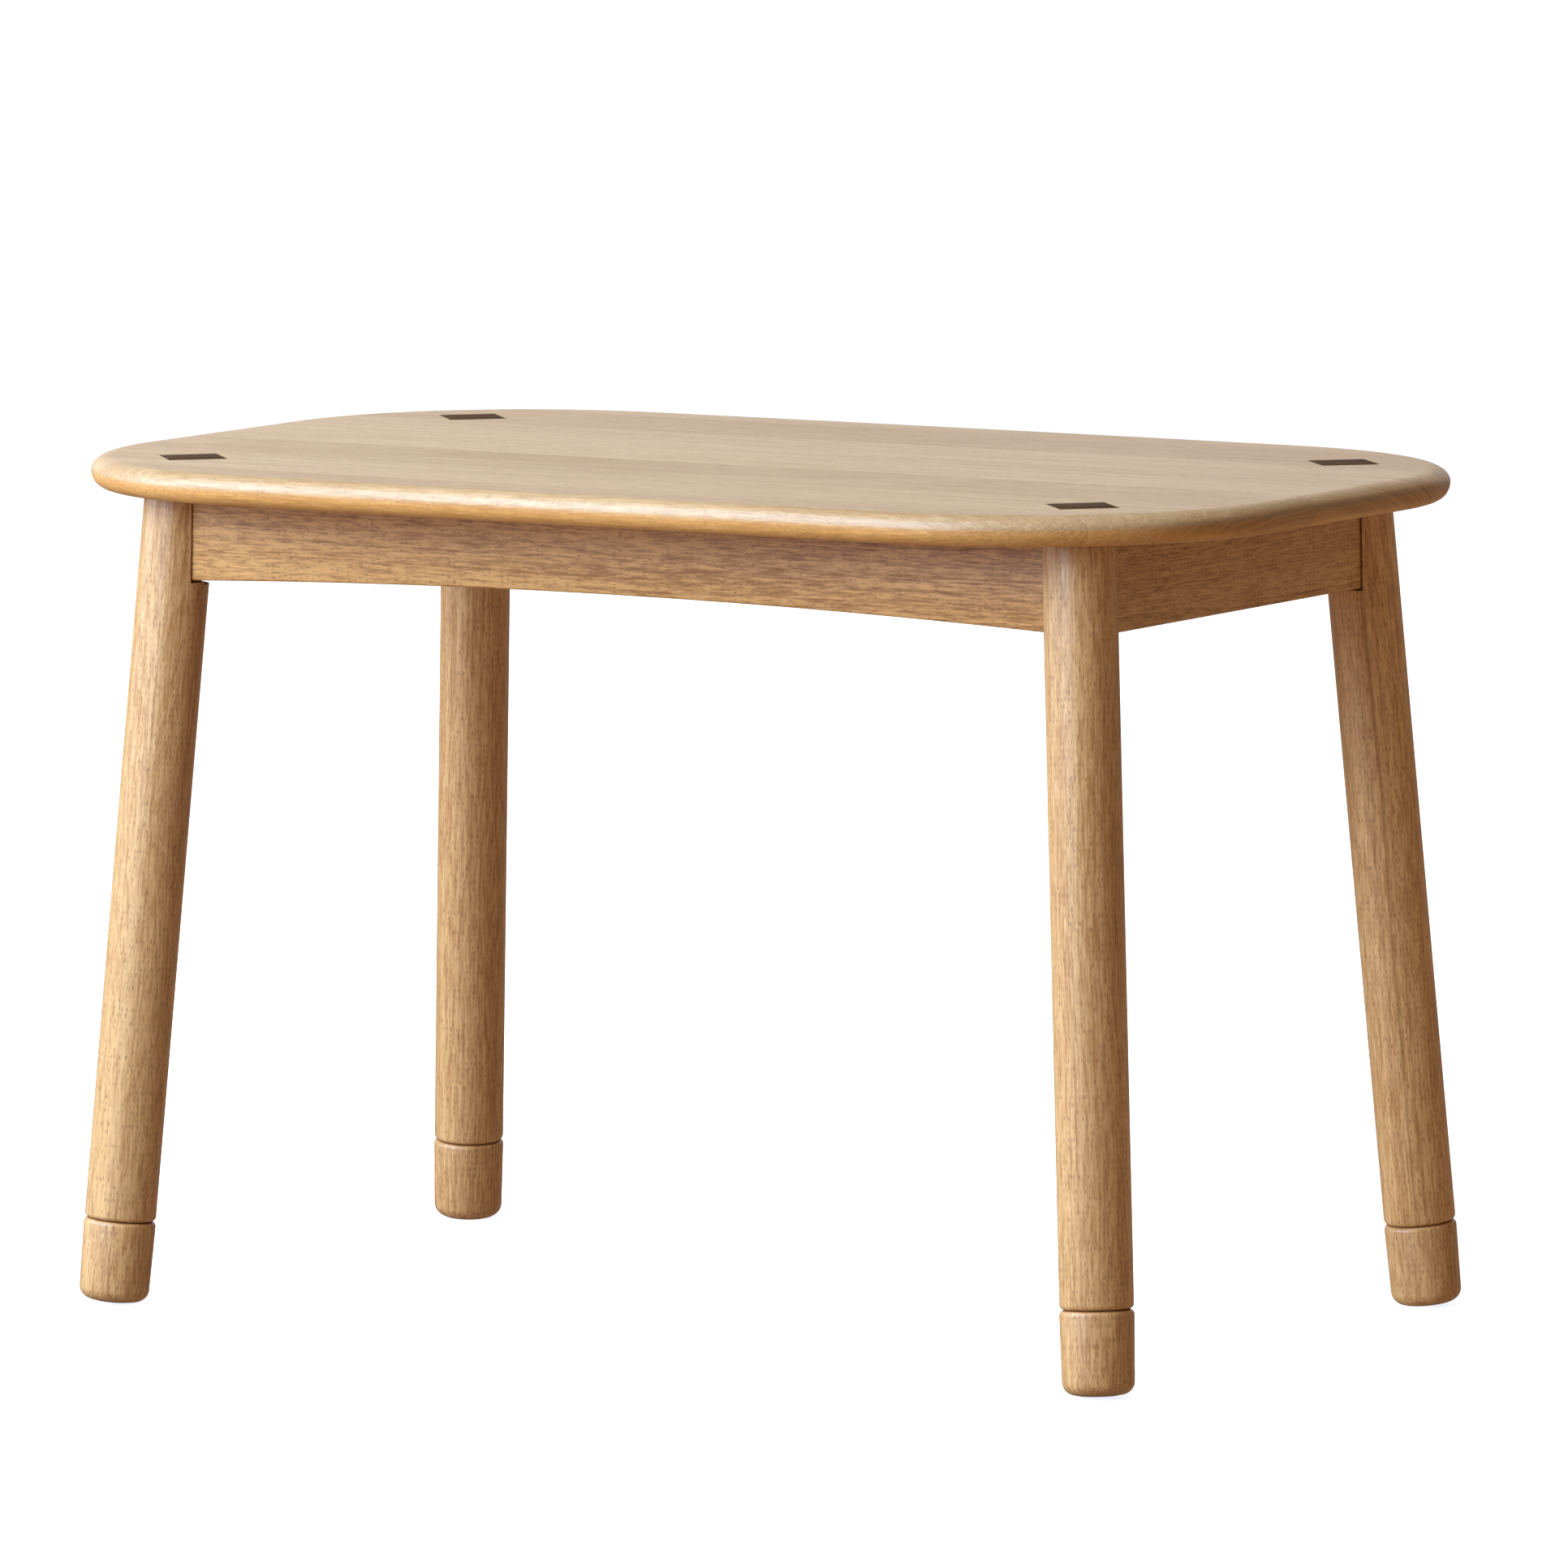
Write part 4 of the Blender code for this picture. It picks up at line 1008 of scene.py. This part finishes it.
class TABLE_OT_legs(Operator):
    """Turn one leg, copy it to the corners, and cut each head for its aprons"""
    bl_idname = "table.legs"
    bl_label = "Legs"

    def execute(self, context):
        sizes = context.scene.table_frame
        feet = context.scene.table_feet
        fixings = context.scene.table_fixings
        colours = context.scene.table_colours
        base = CLEAR / 2.0
        height = (UNDERSIDE - joint_of("back_right")["pos_m"][2]) / leg_up("back_right").z + LEG_TRIM
        pattern = add_rod("leg_pattern", sizes.leg_radius, base, height, LATHE_SIDES)
        bevel_ring(pattern, base, sizes.leg_end, 5)
        rim = feet.insert_recess + feet.flange_thickness + CLEAR
        sink(pattern, base, sizes.leg_radius - sizes.leg_end, [
            (feet.flange_radius + CLEAR, rim),
            (feet.insert_radius + CLEAR, feet.insert_recess + feet.insert_length + CLEAR - rim),
            (feet.stud_radius + 2.0 * CLEAR, feet.stud_rise + STUD_ROOM - feet.insert_length),
        ])
        # Each leg has its own wood tone; the back right leg's is raised further, painted light that brightens
        # the leg standing back from the lamps.
        tones = {"front_left": 0.98, "front_right": 1.04, "back_left": 1.04, "back_right": 1.14}
        for index, corner in enumerate(CORNERS):
            leg = twin(pattern, "turned_leg_" + corner, leg_place(corner))
            up = leg_up(corner)
            slice_off(leg, (0.0, 0.0, UNDERSIDE - CLEAR), (0.0, 0.0, 1.0))
            edit(leg)
            pick_faces(leg, lambda centre, normal: normal.z > LEVEL and centre.z > UNDERSIDE - 2.0 * CLEAR)
            bpy.ops.mesh.inset(thickness=sizes.leg_radius - sizes.spigot_radius)
            rise = up * (sizes.spigot_rise / up.z)
            bpy.ops.mesh.extrude_region_move(TRANSFORM_OT_translate={"value": rise})
            deselect()
            start, inwards, _ = bolt_line(corner, fixings)
            hole = add_rod("bolt_hole", fixings.bolt_radius + CLEAR, -CLEAR, BOLT_HOLE)
            carve(leg, housing_blocks(corner, sizes) + [move(hole, facing(start, inwards))])
            # The heart lies outside the leg, in another place at each corner, so no two legs match.
            heart = leg_point(corner, 0.25) + Vector((0.004 * index + 0.050, -0.030 + 0.012 * index, 0.0))
            wood = make_wood("oiled_beech_leg_" + corner, colours.beech_light, colours.beech_dark,
                             colours.beech_fleck, up, heart, 31.0 + index, tones[corner], coat=0.45,
                             streak=0.5 if corner == "back_right" else 0.0)
            tie(leg, "table_frame", "leg_" + corner, wood)
        discard(pattern)
        return {"FINISHED"}


# ---------------------------------------------------------------- feet, studs, inserts and pads

# A pad's eased edge, the height of a stud's tooth, and the tapers at a threaded rod's two ends.
PAD_EASE = 0.0004
STUD_TOOTH = 0.0007
ROD_TAPER = (0.001, 0.001)

# An insert's eased flange and lead-in, and half the width, the depth and the reach of its slots.
INSERT_EASE = 0.0002
INSERT_LEAD = 0.0006
SLOT_HALF = 0.0006
SLOT_DEPTH = 0.0009
SLOT_REACH = 0.02


def foot_base(sizes):
    """Give the height of a foot's flat base below the seam, on its own axis."""
    lean = math.acos(leg_up("back_right").z)
    drop = sizes.pad_proud * math.cos(lean) + sizes.pad_radius * math.sin(lean)
    return -(joint_of("back_right")["pos_m"][2] - drop) / math.cos(lean)


class TABLE_OT_feet(Operator):
    """Turn one foot and copy it to the four legs"""
    bl_idname = "table.feet"
    bl_label = "Feet"

    def execute(self, context):
        sizes = context.scene.table_feet
        colours = context.scene.table_colours
        base = foot_base(sizes)
        top = -CLEAR / 2.0
        pattern = add_rod("foot_pattern", sizes.base_radius, base, top, LATHE_SIDES, sizes.top_radius)
        bevel_ring(pattern, top, sizes.top_round, 5)
        bevel_ring(pattern, base, sizes.base_round, 12)
        sink(pattern, top, sizes.top_radius - sizes.top_round,
             [(sizes.stud_radius + CLEAR, -(sizes.stud_depth + CLEAR / 2.0))])
        sink(pattern, base, sizes.base_radius - sizes.base_round,
             [(sizes.pad_radius + CLEAR, sizes.pad_thickness - sizes.pad_proud + CLEAR)])
        tones = {"front_left": 0.98, "front_right": 1.03, "back_left": 1.0, "back_right": 1.04}
        woods = {}
        for index, corner in enumerate(CORNERS):
            # A foot is cut from other wood than its leg, so its heart lies on the other side.
            heart = leg_point(corner, 0.03) + Vector((-0.045, 0.020 + 0.014 * index, 0.0))
            woods[corner] = make_wood("oiled_beech_foot_" + corner, colours.beech_light, colours.beech_dark,
                                      colours.beech_fleck, leg_up(corner), heart, 41.0 + index,
                                      tones[corner], coat=0.45)
        copy_to_legs(pattern, "turned_foot_", "foot_{}", "foot_", woods)
        return {"FINISHED"}


class TABLE_OT_pads(Operator):
    """Cut one felt pad and copy it to the four feet"""
    bl_idname = "table.pads"
    bl_label = "Felt pads"

    def execute(self, context):
        sizes = context.scene.table_feet
        low = foot_base(sizes) - sizes.pad_proud
        high = low + sizes.pad_thickness
        pattern = add_rod("pad_pattern", sizes.pad_radius, low, high, LATHE_SIDES)
        bevel_ends(pattern, low, high, PAD_EASE, 3)
        felt = make_felt("pressed_felt", context.scene.table_colours.felt)
        felts = {corner: felt for corner in CORNERS}
        copy_to_legs(pattern, "felt_pad_", "foot_{}", "foot_pad_", felts)
        return {"FINISHED"}


class TABLE_OT_studs(Operator):
    """Thread one stud and copy it to the four feet"""
    bl_idname = "table.studs"
    bl_label = "Studs"

    def execute(self, context):
        sizes = context.scene.table_feet
        steel = context.scene.table_colours.steel
        pattern = thread("stud_pattern", sizes.stud_radius, STUD_TOOTH, sizes.stud_pitch, -sizes.stud_depth,
                         sizes.stud_rise, ROD_TAPER)
        metals = {corner: make_metal("plated_stud_" + corner, steel, leg_up(corner)) for corner in CORNERS}
        copy_to_legs(pattern, "threaded_stud_", "stud_{}", "foot_stud_", metals, THREAD_SHADING)
        return {"FINISHED"}


class TABLE_OT_inserts(Operator):
    """Machine one flanged insert with its driver slots and copy it to the four legs"""
    bl_idname = "table.inserts"
    bl_label = "Inserts"

    def execute(self, context):
        sizes = context.scene.table_feet
        low = CLEAR / 2.0 + sizes.insert_recess
        shoulder = low + sizes.flange_thickness
        high = low + sizes.insert_length
        pattern = add_rod("insert_pattern", sizes.flange_radius, low, shoulder, SMALL_SIDES)
        sink(pattern, shoulder, sizes.flange_radius, [(sizes.insert_radius, high - shoulder)])
        bevel_ring(pattern, low, INSERT_EASE, 2)
        bevel_ring(pattern, high, INSERT_LEAD, 2)
        bore = add_rod("bore", sizes.stud_radius + CLEAR, low - THROUGH, high + THROUGH)
        carve(pattern, [bore] + crossed_slots(SLOT_REACH, SLOT_HALF, low - THROUGH, low + SLOT_DEPTH))
        brass = context.scene.table_colours.brass
        metals = {corner: make_metal("machined_brass_" + corner, brass, leg_up(corner)) for corner in CORNERS}
        copy_to_legs(pattern, "brass_insert_", "table_frame", "leg_insert_", metals)
        return {"FINISHED"}


# ---------------------------------------------------------------- corner blocks and fixings

# The height of a bolt's tooth, a washer's eased edge and a nut's chamfer.
BOLT_TOOTH = 0.00055
WASHER_EASE = 0.0003
NUT_CHAMFER = 0.0009

# A wood screw's tooth, how far its shank runs into its head, and the taper where it does.
SCREW_TOOTH = 0.0006
SCREW_OVERLAP = 0.0002
SCREW_TAPER = 0.0005

# The radius of a screw head's crown as a share of its rim, and the rounding of the crown.
HEAD_CROWN = 0.94
HEAD_ROUND = 0.0007

# The depth of the cross recess as a share of the head, its arms' reach and half their width.
RECESS_SHARE = 0.6
RECESS_REACH = 0.0021
RECESS_HALF = 0.00045


class TABLE_OT_blocks(Operator):
    """Saw a block for each corner of the frame and drill it for its bolt and screws"""
    bl_idname = "table.blocks"
    bl_label = "Corner blocks"

    def execute(self, context):
        sizes = context.scene.table_frame
        fixings = context.scene.table_fixings
        colours = context.scene.table_colours
        for index, (corner, (side_x, side_y)) in enumerate(CORNERS.items()):
            low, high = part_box("corner_block_" + corner)
            block = add_block("beech_block_" + corner, low, high)
            outwards = Vector((side_x, side_y, 0.0)).normalized()
            slice_off(block, inside_corner(corner, sizes.block_near, CLEAR, 0.0), outwards)
            far = high.y - low.y + CLEAR
            slice_off(block, inside_corner(corner, far, sizes.block_end, 0.0), -outwards)
            ease(block, sizes.block_ease, 2)
            start, inwards, run = bolt_line(corner, fixings)
            hole = add_rod("bolt_hole", fixings.bolt_radius + CLEAR, -THROUGH, run + THROUGH)
            cutters = [move(hole, facing(start, inwards))]
            cutters.append(screw_hole(corner, "top", fixings.top_screw_length, counterbored=True))
            for kind in ("long", "side"):
                cutters.append(screw_hole(corner, kind, fixings.side_screw_length, counterbored=True))
            carve(block, cutters)
            wood = make_wood("planed_beech_" + corner, colours.beech_light, colours.beech_dark,
                             colours.beech_fleck, (side_x, -side_y, 0.0), (0.05 * index, 0.1, 0.40),
                             51.0 + index, rough=(0.52, 0.70), coat=0.0)
            tie(block, "table_frame", "corner_block_" + corner, wood)
        return {"FINISHED"}


class TABLE_OT_leg_bolts(Operator):
    """Model one leg bolt with its washer and nut and copy them to the corners"""
    bl_idname = "table.leg_bolts"
    bl_label = "Leg bolts"

    def execute(self, context):
        sizes = context.scene.table_fixings
        steel = context.scene.table_colours.steel
        _, _, run = bolt_line("back_right", sizes)
        bolt = thread("bolt_pattern", sizes.bolt_radius, BOLT_TOOTH, sizes.bolt_pitch, 0.0, run, ROD_TAPER)
        hole_radius = sizes.bolt_radius + CLEAR
        thickness = sizes.washer_thickness
        washer = add_rod("washer_pattern", sizes.washer_radius, 0.0, thickness)
        bevel_ends(washer, 0.0, thickness, WASHER_EASE, 3)
        carve(washer, [add_rod("bore", hole_radius, -THROUGH, THROUGH)])
        nut_radius = sizes.nut_flats / math.sqrt(3.0)
        nut = add_rod("nut_pattern", nut_radius, 0.0, sizes.nut_thickness, 6)
        move(nut, Matrix.Rotation(math.pi / 6.0, 4, "Z"))
        crown = add_rod("crown", nut_radius, 0.0, sizes.nut_thickness)
        bevel_ends(crown, 0.0, sizes.nut_thickness, NUT_CHAMFER, 3)
        carve(nut, [crown], "INTERSECT")
        carve(nut, [add_rod("bore", hole_radius, -THROUGH, 2.0 * THROUGH)])
        nut_start = run - sizes.bolt_tail - sizes.nut_thickness
        washer_start = nut_start - CLEAR - thickness
        for corner in CORNERS:
            start, inwards, _ = bolt_line(corner, sizes)
            metal = make_metal("plated_bolt_" + corner, steel, inwards)
            for pattern, name, node, offset in ((bolt, "threaded_bolt_", "leg_bolt_", 0.0),
                                                (washer, "bolt_washer_", "leg_washer_", washer_start),
                                                (nut, "bolt_nut_", "leg_nut_", nut_start)):
                piece = twin(pattern, name + corner, facing(start + inwards * offset, inwards))
                tie(piece, "table_frame", node + corner, metal, THREAD_SHADING)
        for pattern in (bolt, washer, nut):
            discard(pattern)
        return {"FINISHED"}


def make_screw(name, screw_length, sizes):
    """Model a wood screw along Z: a threaded, pointed shank under a flat head with a cross recess."""
    shank = thread(name, sizes.screw_radius, SCREW_TOOTH, sizes.screw_pitch, -SCREW_OVERLAP, screw_length,
                   (SCREW_TAPER, sizes.screw_tip))
    low = -CLEAR - sizes.head_thickness
    head = add_rod("head", sizes.head_radius * HEAD_CROWN, low, -CLEAR, SMALL_SIDES, sizes.head_radius)
    bevel_ring(head, low, HEAD_ROUND, 4)
    recess_depth = sizes.head_thickness * RECESS_SHARE
    carve(head, crossed_slots(RECESS_REACH, RECESS_HALF, low - THROUGH, low + recess_depth))
    carve(head, [shank], "UNION")
    head.name = name
    head.data.name = name
    return head


class TABLE_OT_screws(Operator):
    """Model a wood screw of each length and copy it to the corner blocks"""
    bl_idname = "table.screws"
    bl_label = "Block screws"

    def execute(self, context):
        sizes = context.scene.table_fixings
        steel = context.scene.table_colours.steel
        patterns = {"top": make_screw("top_screw_pattern", sizes.top_screw_length, sizes),
                    "side": make_screw("side_screw_pattern", sizes.side_screw_length, sizes)}
        for corner in CORNERS:
            for kind, pattern in (("top", "top"), ("long", "side"), ("side", "side")):
                seat, direction, node = screw_place(corner, kind)
                name = kind + "_" + corner
                screw = twin(patterns[pattern], "block_screw_" + name, facing(seat, direction))
                metal = make_metal("plated_screw_" + name, steel, direction)
                tie(screw, "table_frame", node, metal, THREAD_SHADING)
        for pattern in patterns.values():
            discard(pattern)
        return {"FINISHED"}


# ---------------------------------------------------------------- stage

FLOOR_SIZE = 90.0

# The camera's place in metres, its turns in radians, and its lens and sensor in millimetres.
CAMERA_PLACE = (4.0133, -6.5012, 1.2242)
CAMERA_HEADING = 0.551739
CAMERA_PITCH = 0.118320
CAMERA_ROLL = -0.003470
CAMERA_LENS = 293.56
SENSOR_WIDTH = 36.0
FAR_CLIP = 200.0

# The point that the softboxes face, their tints, and each one's place, size, watts and tint.
LIT_POINT = (0.0, 0.0, 0.25)
COOL = (0.785, 1.0, 1.33)
NEUTRAL = (0.93, 1.0, 1.10)
AMBIENT_TINT = (1.39, 1.05, 0.77)
AMBIENT_STRENGTH = 0.215
SOFTBOXES = {
    "key_light": ((-1.24, -1.92, 2.2), (2.8, 2.8), 136.0, COOL),
    "side_light": ((-2.50, -1.22, 1.1), (1.2, 1.6), 30.0, COOL),
    "front_light": ((-0.75, -3.00, 1.1), (1.3, 1.3), 36.0, COOL),
    "back_light": ((-2.2, 3.6, 1.3), (5.0, 1.8), 20.0, NEUTRAL),
}


def add_softbox(name, place, size, watts, tint):
    """Add a rectangular softbox aimed at the lit point."""
    lamp = bpy.data.lights.new(name, "AREA")
    lamp.shape = "RECTANGLE"
    lamp.size = size[0]
    lamp.size_y = size[1]
    lamp.energy = watts
    lamp.color = tint
    item = bpy.data.objects.new(name, lamp)
    bpy.context.scene.collection.objects.link(item)
    item.visible_camera = False
    item.location = place
    item.rotation_euler = (Vector(LIT_POINT) - Vector(place)).to_track_quat("-Z", "Y").to_euler()


class TABLE_OT_stage(Operator):
    """Set the pale floor, the soft studio light and the camera"""
    bl_idname = "table.stage"
    bl_label = "Stage"

    def execute(self, context):
        scene = context.scene
        deselect()
        bpy.ops.mesh.primitive_plane_add(size=FLOOR_SIZE, location=(0.0, 0.0, CAD_BOX[0][2]))
        floor = named("studio_floor")
        floor.data.materials.append(make_floor_material("studio_floor", scene.table_colours.floor))
        floor.visible_diffuse = False
        floor.visible_glossy = False
        world = bpy.data.worlds.new("studio")
        world.use_nodes = True
        background = world.node_tree.nodes["Background"]
        background.inputs["Color"].default_value = (*AMBIENT_TINT, 1.0)
        background.inputs["Strength"].default_value = AMBIENT_STRENGTH
        scene.world = world
        for name, (place, size, watts, tint) in SOFTBOXES.items():
            add_softbox(name, place, size, watts, tint)
        lens = bpy.data.cameras.new("camera")
        lens.lens = CAMERA_LENS
        lens.sensor_width = SENSOR_WIDTH
        lens.clip_end = FAR_CLIP
        camera = bpy.data.objects.new("camera", lens)
        scene.collection.objects.link(camera)
        turn = Matrix.Rotation(CAMERA_HEADING, 4, "Z") @ Matrix.Rotation(math.pi / 2.0 - CAMERA_PITCH, 4, "X")
        camera.matrix_world = Matrix.Translation(CAMERA_PLACE) @ turn @ Matrix.Rotation(CAMERA_ROLL, 4, "Z")
        scene.camera = camera
        scene.view_settings.view_transform = "Standard"
        return {"FINISHED"}


# ---------------------------------------------------------------- add-on

class TABLE_PT_pieces(Panel):
    """List the table's pieces in the sidebar"""
    bl_idname = "TABLE_PT_pieces"
    bl_label = "Children's Beech Table"
    bl_space_type = "VIEW_3D"
    bl_region_type = "UI"
    bl_category = "Table"

    def draw(self, context):
        for step in STEPS:
            self.layout.operator(step.bl_idname)
        for group in GROUPS:
            self.layout.label(text=group.__doc__)
            settings = getattr(context.scene, GROUPS[group])
            for key in group.__annotations__:
                self.layout.prop(settings, key)


GROUPS = {
    TableTopSizes: "table_top",
    FrameSizes: "table_frame",
    FootSizes: "table_feet",
    FixingSizes: "table_fixings",
    TableColours: "table_colours",
}

STEPS = (
    TABLE_OT_tabletop,
    TABLE_OT_inlays,
    TABLE_OT_aprons,
    TABLE_OT_legs,
    TABLE_OT_feet,
    TABLE_OT_pads,
    TABLE_OT_studs,
    TABLE_OT_inserts,
    TABLE_OT_blocks,
    TABLE_OT_leg_bolts,
    TABLE_OT_screws,
    TABLE_OT_stage,
)


def register():
    """Register the settings, the operators and the panel."""
    for group, name in GROUPS.items():
        bpy.utils.register_class(group)
        setattr(bpy.types.Scene, name, PointerProperty(type=group))
    for step in STEPS:
        bpy.utils.register_class(step)
    bpy.utils.register_class(TABLE_PT_pieces)


def unregister():
    """Remove the panel, the operators and the settings."""
    bpy.utils.unregister_class(TABLE_PT_pieces)
    for step in reversed(STEPS):
        bpy.utils.unregister_class(step)
    for group, name in GROUPS.items():
        delattr(bpy.types.Scene, name)
        bpy.utils.unregister_class(group)


def main():
    """Register the add-on and build every piece in order."""
    register()
    for step in STEPS:
        group, name = step.bl_idname.split(".")
        getattr(getattr(bpy.ops, group), name)()


if __name__ == "__main__":
    main()
